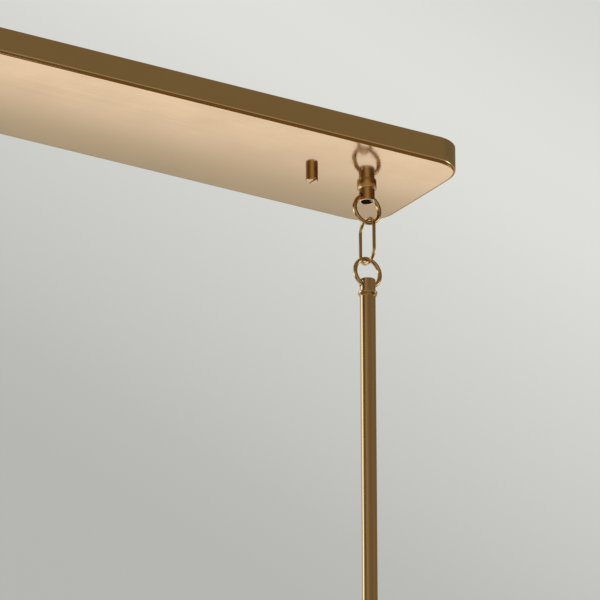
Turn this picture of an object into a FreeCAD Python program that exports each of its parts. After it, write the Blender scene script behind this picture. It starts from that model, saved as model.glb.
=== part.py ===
import FreeCAD, Part

import math
import os
from types import SimpleNamespace

import Sketcher

# Linear island pendant.
# A long shallow brass canopy is screwed to a strap on the ceiling. Two hangers, each a ring, an
# oval link and a second ring, carry two stems, and the stems carry a rail with three lights.
# The frame: origin at the middle of the ceiling plane, +X along the canopy, -Y to the front, +Z up.

# Driving dimensions, in millimetres
SIZES = [
    ("canopy_length", 762.0, "canopy, end to end"),
    ("canopy_width", 120.65, "canopy, front to back"),
    ("canopy_depth", 19.05, "canopy, ceiling to underside"),
    ("canopy_corner", 24.5, "plan radius of the canopy's corners"),
    ("canopy_edge", 1.5, "rounding of the lower edge"),
    ("canopy_wall", 1.2, "brass sheet of the canopy"),
    ("hanger_inset", 45.4, "canopy end to the axis of a hanger"),
    ("knob_inset", 90.5, "canopy end to the axis of a retaining knob"),
    ("knob_diameter", 8.5, "retaining knob"),
    ("knob_length", 7.9, "retaining knob, below the canopy"),
    ("knob_round", 0.6, "rounding of the knob's free end"),
    ("slot_width", 1.3, "screwdriver slot in the knob"),
    ("slot_depth", 1.8, "screwdriver slot in the knob"),
    ("stud_diameter", 4.0, "canopy stud"),
    ("stud_reach", 5.0, "stud inside the knob"),
    ("stud_hole", 5.5, "hole for a stud in the canopy"),
    ("thread_play", 0.1, "hole over thread, on the diameter"),
    ("strap_length", 610.0, "mounting strap"),
    ("strap_width", 26.0, "mounting strap"),
    ("strap_height", 7.0, "mounting strap, over its flanges"),
    ("strap_sheet", 1.6, "steel of the strap"),
    ("box_spacing", 79.4, "middle of one ceiling-box slot to the other"),
    ("box_slot_length", 24.0, "ceiling-box slot, end to end"),
    ("box_slot_width", 4.8, "ceiling-box slot"),
    ("wire_hole", 10.5, "wire hole in the middle of the strap"),
    ("ground_place", 72.0, "ground screw from the middle of the strap"),
    ("ground_diameter", 4.0, "ground screw"),
    ("ground_head", 8.0, "head of the ground screw"),
    ("ground_head_height", 3.0, "head of the ground screw"),
    ("ground_length", 5.5, "ground screw below the strap's upper face"),
    ("stud_nut_flats", 7.0, "jam nut on a stud"),
    ("stud_nut_height", 3.0, "jam nut on a stud"),
    ("nipple_diameter", 8.0, "hollow threaded nipples"),
    ("nipple_bore", 5.4, "wire way of a nipple"),
    ("nipple_nut_flats", 13.0, "nut on a nipple"),
    ("nipple_nut_height", 4.5, "nut on a nipple"),
    ("washer_diameter", 15.0, "lock washer under that nut"),
    ("washer_height", 1.0, "lock washer"),
    ("nipple_stand", 1.5, "nipple past its nut"),
    ("thread_depth", 5.0, "tapped depth in a cap"),
    ("thread_gap", 0.2, "end of a thread to the bottom of its hole"),
    ("stem_diameter", 11.1, "stems and caps"),
    ("stem_bore", 8.1, "bore of a stem"),
    ("cap_length", 13.1, "cap, collar included"),
    ("cap_bore", 8.2, "open end of a cap"),
    ("collar_diameter", 13.5, "collar of a cap"),
    ("collar_height", 2.5, "collar of a cap"),
    ("collar_round", 0.4, "rounding of the collars"),
    ("rim_break", 0.3, "broken edges at the cap's open end"),
    ("cross_hole_place", 9.75, "cap's seat to the axis of its cross hole"),
    ("cross_hole", 5.0, "cross hole for the ring"),
    ("ring_radius", 10.05, "ring, to the middle of its wire"),
    ("ring_wire", 2.9, "wire of the ring"),
    ("link_bend", 8.7, "end bend of the link, to the middle of its wire"),
    ("link_wire", 2.2, "wire of the link"),
    ("link_play", 0.3, "gap between a link and a ring"),
    ("chain_drop", 65.4, "upper cross hole to lower cross hole"),
    ("upper_stem_length", 304.8, "upper stem"),
    ("lower_stem_length", 152.4, "lower stem"),
    ("socket_depth", 8.0, "stem inside a coupler or a hub"),
    ("socket_play", 0.1, "socket over stem, on the diameter"),
    ("coupler_web", 3.0, "coupler between its two stems"),
    ("coupler_way", 6.0, "wire way of couplers and hubs"),
    ("rail_diameter", 12.7, "rail tube"),
    ("rail_bore", 10.3, "bore of the rail tube"),
    ("rail_past_hub", 26.0, "end of the rail past the middle of its hub"),
    ("rail_way", 7.0, "wire holes in the rail"),
    ("hub_diameter", 22.0, "hubs on the rail"),
    ("hub_height", 34.0, "hubs on the rail"),
    ("hub_round", 2.2, "rounding of the hubs"),
    ("rail_place", 15.0, "rail's axis above the foot of a hub"),
    ("set_screw_diameter", 3.0, "set screw of a hub"),
    ("set_screw_length", 4.0, "set screw of a hub"),
    ("drill_past", 2.0, "set screw's hole, drilled from past the hub's skin"),
    ("finial_diameter", 16.0, "button on the end of the rail"),
    ("finial_height", 6.5, "button, past the rail"),
    ("finial_skirt", 2.2, "straight edge of the button"),
    ("finial_plug", 8.0, "button's plug in the rail"),
    ("cup_diameter", 44.0, "socket cup"),
    ("cup_wall", 1.3, "brass of the socket cup"),
    ("cup_height", 64.0, "socket cup, neck included"),
    ("cup_straight", 40.0, "straight part of the cup, from its rim"),
    ("cup_lip", 49.0, "lip round the cup's rim"),
    ("cup_lip_height", 2.4, "lip round the cup's rim"),
    ("cup_shoulder", 7.0, "rounding of the cup's shoulder"),
    ("holder_diameter", 38.0, "lampholder"),
    ("holder_bore", 28.4, "bore of the lampholder"),
    ("holder_height", 52.0, "lampholder"),
    ("holder_below_cup", 14.0, "lampholder below the cup's rim"),
    ("holder_top", 6.0, "closed end of the lampholder"),
    ("shell_sheet", 0.8, "brass of the screw shell"),
    ("shell_length", 25.0, "screw shell"),
    ("shell_place", 3.0, "screw shell above the lampholder's mouth"),
    ("shade_ring_diameter", 54.0, "threaded ring that holds the glass"),
    ("shade_ring_height", 7.0, "threaded ring that holds the glass"),
    ("shade_diameter", 152.4, "glass shade"),
    ("shade_height", 140.0, "glass shade"),
    ("shade_wall", 3.2, "glass of the shade"),
    ("shade_corner", 16.0, "upper corner of the shade"),
    ("shade_hole", 40.0, "hole in the top of the shade"),
    ("base_diameter", 26.0, "screw base of the bulb"),
    ("base_height", 26.0, "screw base of the bulb"),
    ("base_straight", 19.5, "threaded part of the screw base"),
    ("insulator_diameter", 18.2, "foot of the insulator on the screw base"),
    ("insulator_place", 23.4, "foot of the insulator above the base's lower edge"),
    ("contact_diameter", 8.0, "centre contact of the screw base"),
    ("contact_height", 1.8, "centre contact of the screw base"),
    ("base_recess", 1.0, "screw base above the lampholder's mouth"),
    ("bulb_diameter", 32.0, "bulb"),
    ("bulb_length", 84.0, "glass of the bulb"),
    ("bulb_neck", 25.0, "neck of the bulb"),
    ("bulb_neck_height", 3.0, "straight part of the neck"),
    ("bulb_glass_wall", 1.0, "glass of the bulb"),
    ("filament_circle", 13.0, "circle on which the filaments stand"),
    ("filament_wire", 1.8, "filament"),
    ("filament_length", 44.0, "filament"),
    ("spider_diameter", 15.5, "wire spider at each end of the filaments"),
    ("spider_height", 0.9, "wire spider"),
    ("mast_rod", 2.0, "glass rod between the spiders"),
    ("mast_diameter", 4.0, "glass mast above the spiders"),
    ("mast_foot", 8.0, "foot of the mast, at the neck"),
]


class Size:
    """A length, with the formula that works it out from the sheet."""

    def __init__(self, value, formula):
        self.value = value
        self.formula = formula

    def __add__(self, other):
        return joined(self, "+", other)

    def __radd__(self, other):
        return joined(other, "+", self)

    def __sub__(self, other):
        return joined(self, "-", other)

    def __rsub__(self, other):
        return joined(other, "-", self)

    def __mul__(self, other):
        return joined(self, "*", other)

    def __rmul__(self, other):
        return joined(other, "*", self)

    def __truediv__(self, other):
        return joined(self, "/", other)

    def __neg__(self):
        return joined(0.0, "-", self)


def as_size(thing):
    """A plain number as a Size."""
    if isinstance(thing, Size):
        return thing
    return Size(float(thing), f"({float(thing)!r})")


def joined(left, sign, right):
    """Two sizes joined by an arithmetic sign."""
    left = as_size(left)
    right = as_size(right)
    value = {
        "+": lambda a, b: a + b,
        "-": lambda a, b: a - b,
        "*": lambda a, b: a * b,
        "/": lambda a, b: a / b,
    }[sign](left.value, right.value)
    return Size(value, f"({left.formula} {sign} {right.formula})")


def root(size):
    """The square root of a size."""
    return Size(math.sqrt(size.value), f"sqrt({size.formula})")


doc = FreeCAD.newDocument("island_pendant")


def make_sheet():
    """Writes the driving dimensions into the sheet and returns them by name."""
    sheet = doc.addObject("Spreadsheet::Sheet", "sizes")
    for row, (alias, value, meaning) in enumerate(SIZES, start=1):
        sheet.set(f"A{row}", meaning)
        sheet.set(f"B{row}", str(value))
        sheet.setAlias(f"B{row}", alias)
    doc.recompute()
    return SimpleNamespace(**{alias: Size(value, f"sizes.{alias}") for alias, value, _ in SIZES})


sizes = make_sheet()

# Places that follow from the driving dimensions
UNDERSIDE = -sizes.canopy_depth
HANGER_X = sizes.canopy_length / 2 - sizes.hanger_inset
KNOB_X = sizes.canopy_length / 2 - sizes.knob_inset
TAPPED = sizes.nipple_diameter + sizes.thread_play
STUD_TAPPED = sizes.stud_diameter + sizes.thread_play
UPPER_HOLE_Z = UNDERSIDE - sizes.cross_hole_place
LOWER_HOLE_Z = UPPER_HOLE_Z - sizes.chain_drop
CAP_WALL_RADIUS = (sizes.stem_diameter + sizes.cap_bore) / 4
RING_HANG = root(sizes.ring_radius * sizes.ring_radius - CAP_WALL_RADIUS * CAP_WALL_RADIUS)
UPPER_RING_Z = UPPER_HOLE_Z - RING_HANG
LOWER_RING_Z = LOWER_HOLE_Z + RING_HANG
WIRE_STEP = (sizes.ring_wire + sizes.link_wire) / 2 + sizes.link_play
LINK_STRAIGHT = UPPER_RING_Z - LOWER_RING_Z - (sizes.ring_radius - WIRE_STEP + sizes.link_bend) * 2
LINK_Z = (UPPER_RING_Z + LOWER_RING_Z) / 2
STEM_TOP = LOWER_HOLE_Z - sizes.cross_hole_place
COUPLER_LENGTH = sizes.socket_depth * 2 + sizes.coupler_web
COUPLER_Z = STEM_TOP - sizes.upper_stem_length - sizes.coupler_web - sizes.socket_depth
LOWER_STEM_TOP = STEM_TOP - sizes.upper_stem_length - sizes.coupler_web
HUB_TOP = LOWER_STEM_TOP - sizes.lower_stem_length + sizes.socket_depth
HUB_Z = HUB_TOP - sizes.hub_height
RAIL_Z = HUB_Z + sizes.rail_place
CUP_Z = HUB_Z - sizes.cup_height
HOLDER_Z = CUP_Z - sizes.holder_below_cup
SHADE_Z = CUP_Z - sizes.shade_height
BASE_Z = HOLDER_Z + sizes.base_recess
BULB_Z = BASE_Z - sizes.bulb_length
SIDES = (("left", -1), ("right", 1))
LIGHTS = (("left", -1), ("centre", 0), ("right", 1))


def bind(thing, prop, size):
    """Binds a property to the sheet."""
    thing.setExpression(prop, as_size(size).formula)


def place(thing, x, y, z, rotation=None):
    """Puts an object at a place bound to the sheet."""
    if rotation is not None:
        thing.Placement = FreeCAD.Placement(FreeCAD.Vector(0, 0, 0), rotation)
    bind(thing, "Placement.Base.x", x)
    bind(thing, "Placement.Base.y", y)
    bind(thing, "Placement.Base.z", z)


def turn(axis, degrees):
    """A rotation about a row axis."""
    return FreeCAD.Rotation(FreeCAD.Vector(*axis), degrees)


def new_body(name, x=0.0, y=0.0, z=0.0, rotation=None):
    """A body with its own label and a place bound to the sheet."""
    body = doc.addObject("PartDesign::Body", name)
    body.Label = name
    body.AllowCompound = True
    place(body, x, y, z, rotation)
    return body


def sketch_on(body, role, lift=0.0):
    """A sketch on one of the body's own origin planes, lifted off it where asked."""
    sketch = body.newObject("Sketcher::SketchObject", f"{body.Name}_sketch")
    plane = next(f for f in body.Origin.OriginFeatures if f.Role == role)
    sketch.AttachmentSupport = [(plane, "")]
    sketch.MapMode = "FlatFace"
    bind(sketch, "AttachmentOffset.Base.z", lift)
    return sketch


def pin_point(sketch, edge, end, x, y):
    """Fixes a point of the sketch at a place bound to the sheet."""
    for kind, size, axis in (("DistanceX", as_size(x), -2), ("DistanceY", as_size(y), -1)):
        if size.value == 0:
            sketch.addConstraint(Sketcher.Constraint("PointOnObject", edge, end, axis))
        else:
            row = sketch.addConstraint(Sketcher.Constraint(kind, -1, 1, edge, end, size.value))
            bind(sketch, f"Constraints[{row}]", size)


def pin_one_way(sketch, edge, end, kind, size):
    """Fixes a point of the sketch along one axis."""
    row = sketch.addConstraint(Sketcher.Constraint(kind, -1, 1, edge, end, as_size(size).value))
    bind(sketch, f"Constraints[{row}]", size)


def draw_loop(sketch, corners):
    """Draws a closed outline.

    A corner (x, y) is reached by a straight line. A corner (x, y, centre_x, centre_y, way) is reached
    by an arc about that centre, with way +1 for a left-hand turn and -1 for a right-hand one.
    """
    ends = []
    for index, corner in enumerate(corners):
        before = corners[index - 1]
        start = FreeCAD.Vector(as_size(before[0]).value, as_size(before[1]).value, 0)
        stop = FreeCAD.Vector(as_size(corner[0]).value, as_size(corner[1]).value, 0)
        if len(corner) == 2:
            edge = sketch.addGeometry(Part.LineSegment(start, stop), False)
            ends.append((edge, 1, 2))
            continue
        centre = FreeCAD.Vector(as_size(corner[2]).value, as_size(corner[3]).value, 0)
        circle = Part.Circle(centre, FreeCAD.Vector(0, 0, 1), (start - centre).Length)
        first, last = (start, stop) if corner[4] > 0 else (stop, start)
        low = math.atan2(first.y - centre.y, first.x - centre.x)
        high = math.atan2(last.y - centre.y, last.x - centre.x)
        if high <= low:
            high += 2 * math.pi
        edge = sketch.addGeometry(Part.ArcOfCircle(circle, low, high), False)
        ends.append((edge, 1, 2) if corner[4] > 0 else (edge, 2, 1))
    for index, (edge, _, stop) in enumerate(ends):
        following = ends[(index + 1) % len(ends)]
        sketch.addConstraint(Sketcher.Constraint("Coincident", edge, stop, following[0], following[1]))
        pin_point(sketch, edge, stop, corners[index][0], corners[index][1])
        if len(corners[index]) > 2:
            pin_centre(sketch, edge, corners[index - 1], corners[index])


def pin_centre(sketch, edge, before, corner):
    """Fixes an arc's centre along the line that halves its chord."""
    chord_x = abs(as_size(corner[0]).value - as_size(before[0]).value)
    chord_y = abs(as_size(corner[1]).value - as_size(before[1]).value)
    if chord_y > chord_x:
        pin_one_way(sketch, edge, 3, "DistanceX", corner[2])
    else:
        pin_one_way(sketch, edge, 3, "DistanceY", corner[3])


def draw_circle(sketch, x, y, diameter):
    """Draws a circle with its centre and diameter bound to the sheet."""
    centre = FreeCAD.Vector(as_size(x).value, as_size(y).value, 0)
    radius = as_size(diameter).value / 2
    edge = sketch.addGeometry(Part.Circle(centre, FreeCAD.Vector(0, 0, 1), radius), False)
    pin_point(sketch, edge, 3, x, y)
    row = sketch.addConstraint(Sketcher.Constraint("Diameter", edge, radius * 2))
    bind(sketch, f"Constraints[{row}]", diameter)


def rounded_rectangle(length, width, radius):
    """Corners of a rounded rectangle about the origin."""
    x = length / 2
    y = width / 2
    return [
        (x - radius, -y),
        (x, radius - y, x - radius, radius - y, 1),
        (x, y - radius),
        (x - radius, y, x - radius, y - radius, 1),
        (radius - x, y),
        (-x, y - radius, radius - x, y - radius, 1),
        (-x, radius - y),
        (radius - x, -y, radius - x, radius - y, 1),
    ]


def slot(x, y, length, width):
    """Corners of a slot along X with round ends."""
    reach = (length - width) / 2
    half = width / 2
    return [
        (x + reach, y - half),
        (x + reach, y + half, x + reach, y, 1),
        (x - reach, y + half),
        (x - reach, y - half, x - reach, y, 1),
    ]


def hexagon(x, y, flats):
    """Corners of a hexagon, a flat facing front."""
    radius = flats / math.sqrt(3)
    angles = [math.radians(60 * step) for step in range(6)]
    return [(x + radius * math.cos(a), y + radius * math.sin(a)) for a in angles]


def pad(body, sketch, length, both_ways=False, backwards=False):
    """Pads a sketch."""
    feature = body.newObject("PartDesign::Pad", f"{body.Name}_pad")
    feature.Profile = sketch
    bind(feature, "Length", length)
    feature.Midplane = both_ways
    feature.Reversed = backwards
    doc.recompute()
    return feature


def revolve(body, sketch):
    """Turns a sketch a full turn about its upright axis."""
    feature = body.newObject("PartDesign::Revolution", f"{body.Name}_turned")
    feature.Profile = sketch
    feature.ReferenceAxis = (sketch, ["V_Axis"])
    feature.Angle = 360.0
    doc.recompute()
    return feature


def pocket(body, sketch, depth=None, backwards=False):
    """Cuts a sketch out of the body: to a depth, or right through both ways."""
    before = body.Shape.Volume
    feature = body.newObject("PartDesign::Pocket", f"{body.Name}_pocket")
    feature.Profile = sketch
    if depth is None:
        feature.Type = "ThroughAll"
        feature.Midplane = True
    else:
        bind(feature, "Length", depth)
        feature.Reversed = backwards
    doc.recompute()
    if not body.Shape.Volume < before - 1e-6:
        raise RuntimeError(f"{body.Name}: the pocket cuts nothing")
    return feature


def fillet(body, feature, radius, chosen):
    """Rounds the chosen edges of a feature."""
    names = [f"Edge{i}" for i, edge in enumerate(feature.Shape.Edges, start=1) if chosen(edge)]
    rounding = body.newObject("PartDesign::Fillet", f"{body.Name}_fillet")
    rounding.Base = (feature, names)
    bind(rounding, "Radius", radius)
    doc.recompute()
    return rounding


def turned(name, corners, x=0.0, y=0.0, z=0.0, rotation=None):
    """A turned body: its outline gives radius and height."""
    body = new_body(name, x, y, z, rotation)
    sketch = sketch_on(body, "XZ_Plane")
    draw_loop(sketch, corners)
    revolve(body, sketch)
    return body


def tube(name, outside, bore, length, x=0.0, z=0.0, role="XY_Plane"):
    """A straight tube along Z, or along X about its middle on the YZ plane."""
    body = new_body(name, x, 0.0, z)
    sketch = sketch_on(body, role)
    draw_circle(sketch, 0.0, 0.0, outside)
    draw_circle(sketch, 0.0, 0.0, bore)
    pad(body, sketch, length, both_ways=role == "YZ_Plane")
    return body


# Canopy and what it hides


def make_canopy():
    """The drawn brass pan, open at the ceiling, with holes for the hangers and the studs."""
    body = new_body("canopy", z=UNDERSIDE)
    sketch = sketch_on(body, "XY_Plane")
    draw_loop(sketch, rounded_rectangle(sizes.canopy_length, sizes.canopy_width, sizes.canopy_corner))
    block = pad(body, sketch, sizes.canopy_depth)
    fillet(body, block, sizes.canopy_edge, lambda edge: edge.BoundBox.ZMax < 1e-6)
    inside = sketch_on(body, "XY_Plane", lift=sizes.canopy_wall)
    wall = sizes.canopy_wall
    corners = rounded_rectangle(
        sizes.canopy_length - wall * 2, sizes.canopy_width - wall * 2, sizes.canopy_corner - wall
    )
    draw_loop(inside, corners)
    pocket(body, inside, sizes.canopy_depth, backwards=True)
    holes = sketch_on(body, "XY_Plane")
    for _, side in SIDES:
        draw_circle(holes, HANGER_X * side, 0.0, TAPPED)
        draw_circle(holes, KNOB_X * side, 0.0, sizes.stud_hole)
    pocket(body, holes)


def make_strap():
    """The flanged steel strap, with slots for the ceiling box and tapped holes for the studs."""
    body = new_body("mounting_strap")
    sketch = sketch_on(body, "YZ_Plane")
    half = sizes.strap_width / 2
    sheet = sizes.strap_sheet
    corners = [
        (half, 0.0),
        (-half, 0.0),
        (-half, -sizes.strap_height),
        (sheet - half, -sizes.strap_height),
        (sheet - half, -sheet),
        (half - sheet, -sheet),
        (half - sheet, -sizes.strap_height),
        (half, -sizes.strap_height),
    ]
    draw_loop(sketch, corners)
    pad(body, sketch, sizes.strap_length, both_ways=True)
    holes = sketch_on(body, "XY_Plane")
    draw_circle(holes, 0.0, 0.0, sizes.wire_hole)
    draw_circle(holes, sizes.ground_place, 0.0, sizes.ground_diameter + sizes.thread_play)
    for _, side in SIDES:
        place_x = sizes.box_spacing / 2 * side
        draw_loop(holes, slot(place_x, 0.0, sizes.box_slot_length, sizes.box_slot_width))
        draw_circle(holes, KNOB_X * side, 0.0, STUD_TAPPED)
    pocket(body, holes)


def make_studs():
    """Two studs from the strap down into the knobs, and a jam nut on each."""
    body = new_body("canopy_studs", z=UNDERSIDE - sizes.stud_reach)
    sketch = sketch_on(body, "XY_Plane")
    for _, side in SIDES:
        draw_circle(sketch, KNOB_X * side, 0.0, sizes.stud_diameter)
    pad(body, sketch, sizes.canopy_depth + sizes.stud_reach)
    nuts = new_body("stud_nuts", z=-sizes.strap_sheet - sizes.stud_nut_height)
    outline = sketch_on(nuts, "XY_Plane")
    for _, side in SIDES:
        draw_loop(outline, hexagon(KNOB_X * side, 0.0, sizes.stud_nut_flats))
        draw_circle(outline, KNOB_X * side, 0.0, STUD_TAPPED)
    pad(nuts, outline, sizes.stud_nut_height)


def make_knob(name, x):
    """A barrel nut with a blind tapped hole above and a screwdriver slot below."""
    radius = sizes.knob_diameter / 2
    length = sizes.knob_length
    edge = sizes.knob_round
    hole = sizes.stud_reach + sizes.thread_gap * 2
    corners = [
        (0.0, 0.0),
        (radius - edge, 0.0),
        (radius, edge, radius - edge, edge, 1),
        (radius, length),
        (STUD_TAPPED / 2, length),
        (STUD_TAPPED / 2, length - hole),
        (0.0, length - hole),
    ]
    body = turned(name, corners, x, 0.0, UNDERSIDE - length)
    sketch = sketch_on(body, "XY_Plane")
    reach = sizes.knob_diameter
    half = sizes.slot_width / 2
    draw_loop(sketch, [(half, -reach), (half, reach), (-half, reach), (-half, -reach)])
    pocket(body, sketch, sizes.slot_depth, backwards=True)


def make_ground_screw():
    """The ground screw, driven up into the strap."""
    head = sizes.ground_head / 2
    shank = sizes.ground_diameter / 2
    top = sizes.ground_length
    corners = [
        (0.0, 0.0),
        (head, 0.0),
        (head, sizes.ground_head_height),
        (shank, sizes.ground_head_height),
        (shank, top),
        (0.0, top),
    ]
    turned("ground_screw", corners, sizes.ground_place, 0.0, -top)


def make_hanger_fixings():
    """The nipple, lock washer and nut that hold each hanger's cap to the canopy."""
    floor = UNDERSIDE + sizes.canopy_wall
    down = sizes.thread_depth - sizes.thread_gap
    nipple = new_body("hang_nipples", z=UNDERSIDE - down)
    outline = sketch_on(nipple, "XY_Plane")
    washer = new_body("lock_washers", z=floor)
    washer_outline = sketch_on(washer, "XY_Plane")
    nut = new_body("nipple_nuts", z=floor + sizes.washer_height)
    nut_outline = sketch_on(nut, "XY_Plane")
    for _, side in SIDES:
        x = HANGER_X * side
        draw_circle(outline, x, 0.0, sizes.nipple_diameter)
        draw_circle(outline, x, 0.0, sizes.nipple_bore)
        draw_circle(washer_outline, x, 0.0, sizes.washer_diameter)
        draw_circle(washer_outline, x, 0.0, TAPPED)
        draw_loop(nut_outline, hexagon(x, 0.0, sizes.nipple_nut_flats))
        draw_circle(nut_outline, x, 0.0, TAPPED)
    above = sizes.canopy_wall + sizes.washer_height + sizes.nipple_nut_height + sizes.nipple_stand
    pad(nipple, outline, down + above)
    pad(washer, washer_outline, sizes.washer_height)
    pad(nut, nut_outline, sizes.nipple_nut_height)


# Hangers


def make_cap(name, x, z, rotation=None):
    """A cap: collar at its seat, open at its free end, cross-drilled near that end for the ring."""
    collar = sizes.collar_diameter / 2
    edge = sizes.collar_round
    height = sizes.collar_height
    radius = sizes.stem_diameter / 2
    bore = sizes.cap_bore / 2
    end = sizes.cap_length
    lip = sizes.rim_break
    corners = [
        (TAPPED / 2, 0.0),
        (collar - edge, 0.0),
        (collar, edge, collar - edge, edge, 1),
        (collar, height - edge),
        (collar - edge, height, collar - edge, height - edge, 1),
        (radius, height),
        (radius, end - lip),
        (radius - lip, end),
        (bore + lip, end),
        (bore, end - lip),
        (bore, sizes.thread_depth),
        (TAPPED / 2, sizes.thread_depth),
    ]
    body = turned(name, corners, x, 0.0, z, rotation)
    sketch = sketch_on(body, "YZ_Plane")
    draw_circle(sketch, 0.0, sizes.cross_hole_place, sizes.cross_hole)
    pocket(body, sketch)


def make_ring(name, x, z):
    """A closed round ring in the plane of the canopy's length."""
    ring = doc.addObject("Part::Torus", name)
    ring.Label = name
    bind(ring, "Radius1", sizes.ring_radius)
    bind(ring, "Radius2", sizes.ring_wire / 2)
    place(ring, x, 0.0, z, turn((1, 0, 0), 90))


def make_link(name, x):
    """A long oval link, square to the rings."""
    body = new_body(name, x, 0.0, LINK_Z)
    bend = sizes.link_bend
    half = LINK_STRAIGHT / 2
    path = sketch_on(body, "YZ_Plane")
    corners = [
        (bend, half),
        (-bend, half, 0.0, half, 1),
        (-bend, -half),
        (bend, -half, 0.0, -half, 1),
    ]
    draw_loop(path, corners)
    wire = sketch_on(body, "XY_Plane")
    draw_circle(wire, 0.0, bend, sizes.link_wire)
    sweep = body.newObject("PartDesign::AdditivePipe", f"{name}_wire")
    sweep.Profile = wire
    sweep.Spine = (path, [])
    doc.recompute()


def make_cap_nipples():
    """The nipples that join the lower caps to the stems."""
    reach = sizes.thread_depth - sizes.thread_gap
    body = new_body("cap_nipples", z=STEM_TOP - sizes.socket_depth)
    sketch = sketch_on(body, "XY_Plane")
    for _, side in SIDES:
        draw_circle(sketch, HANGER_X * side, 0.0, sizes.nipple_diameter)
        draw_circle(sketch, HANGER_X * side, 0.0, sizes.nipple_bore)
    pad(body, sketch, reach + sizes.socket_depth)


# Stems, rail and hubs


def make_stem(name, x, top, length):
    """A length of stem tube, hanging from its top."""
    tube(name, sizes.stem_diameter, sizes.stem_bore, length, x, top - length)


def make_coupler(name, x):
    """A sleeve that takes the ends of two stems."""
    outside = sizes.collar_diameter / 2
    edge = sizes.collar_round
    top = COUPLER_LENGTH
    socket = (sizes.stem_diameter + sizes.socket_play) / 2
    way = sizes.coupler_way / 2
    corners = [
        (socket, 0.0),
        (outside - edge, 0.0),
        (outside, edge, outside - edge, edge, 1),
        (outside, top - edge),
        (outside - edge, top, outside - edge, top - edge, 1),
        (socket, top),
        (socket, top - sizes.socket_depth),
        (way, top - sizes.socket_depth),
        (way, sizes.socket_depth),
        (socket, sizes.socket_depth),
    ]
    turned(name, corners, x, 0.0, COUPLER_Z)


def make_rail():
    """The rail tube, with a wire hole above and below at each hub."""
    length = (HANGER_X + sizes.rail_past_hub) * 2
    body = tube("rail_tube", sizes.rail_diameter, sizes.rail_bore, length, z=RAIL_Z, role="YZ_Plane")
    sketch = sketch_on(body, "XY_Plane")
    for _, side in LIGHTS:
        draw_circle(sketch, HANGER_X * side, 0.0, sizes.rail_way)
    pocket(body, sketch)


def make_hub(name, side):
    """A turned hub: the rail runs through it, a light hangs from it, and the outer two hold a stem."""
    outside = sizes.hub_diameter / 2
    edge = sizes.hub_round
    top = sizes.hub_height
    way = sizes.coupler_way / 2
    tapped = TAPPED / 2
    foot = [
        (tapped, 0.0),
        (outside - edge, 0.0),
        (outside, edge, outside - edge, edge, 1),
        (outside, top - edge),
        (outside - edge, top, outside - edge, top - edge, 1),
    ]
    socket = (sizes.stem_diameter + sizes.socket_play) / 2
    held = [(socket, top), (socket, top - sizes.socket_depth), (way, top - sizes.socket_depth)]
    closed = [(0.0, top), (0.0, sizes.rail_place), (way, sizes.rail_place)]
    throat = [(way, sizes.socket_depth), (tapped, sizes.socket_depth)]
    corners = foot + (held if side else closed) + throat
    body = turned(name, corners, HANGER_X * side, 0.0, HUB_Z)
    bore = sketch_on(body, "YZ_Plane")
    draw_circle(bore, 0.0, sizes.rail_place, sizes.rail_diameter + sizes.socket_play)
    pocket(body, bore)
    screw = sketch_on(body, "XZ_Plane")
    draw_circle(screw, 0.0, sizes.rail_place, sizes.set_screw_diameter + sizes.thread_play)
    pocket(body, screw, outside + sizes.drill_past, backwards=False)


def make_set_screws():
    """A set screw at the back of each hub, tight on the rail."""
    body = new_body("hub_set_screws", z=RAIL_Z)
    start = sizes.rail_diameter / 2 + sizes.socket_play / 2
    sketch = sketch_on(body, "XZ_Plane", lift=-start)
    for _, side in LIGHTS:
        draw_circle(sketch, HANGER_X * side, 0.0, sizes.set_screw_diameter)
    pad(body, sketch, sizes.set_screw_length, backwards=True)


def make_finial(name, side):
    """A domed button plugged into the end of the rail."""
    plug = (sizes.rail_bore - sizes.thread_play) / 2
    head = sizes.finial_diameter / 2
    tip = sizes.finial_height
    skirt = sizes.finial_skirt
    # the dome is an arc through the skirt's upper edge and the tip
    rise = tip - skirt
    radius = (head * head + rise * rise) / (rise * 2)
    corners = [
        (0.0, -sizes.finial_plug),
        (plug, -sizes.finial_plug),
        (plug, 0.0),
        (head, 0.0),
        (head, skirt),
        (0.0, tip, 0.0, tip - radius, 1),
    ]
    x = (HANGER_X + sizes.rail_past_hub) * side
    turned(name, corners, x, 0.0, RAIL_Z, turn((0, 1, 0), 90 * side))


def make_hub_nipples():
    """The nipples that hang a socket cup and its lampholder from each hub."""
    up = sizes.socket_depth - sizes.thread_gap
    down = sizes.cup_height + sizes.holder_below_cup - sizes.holder_height + sizes.holder_top / 2
    body = new_body("hub_nipples", z=HUB_Z - down)
    sketch = sketch_on(body, "XY_Plane")
    for _, side in LIGHTS:
        draw_circle(sketch, HANGER_X * side, 0.0, sizes.nipple_diameter)
        draw_circle(sketch, HANGER_X * side, 0.0, sizes.nipple_bore)
    pad(body, sketch, up + down)


# Lights


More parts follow.
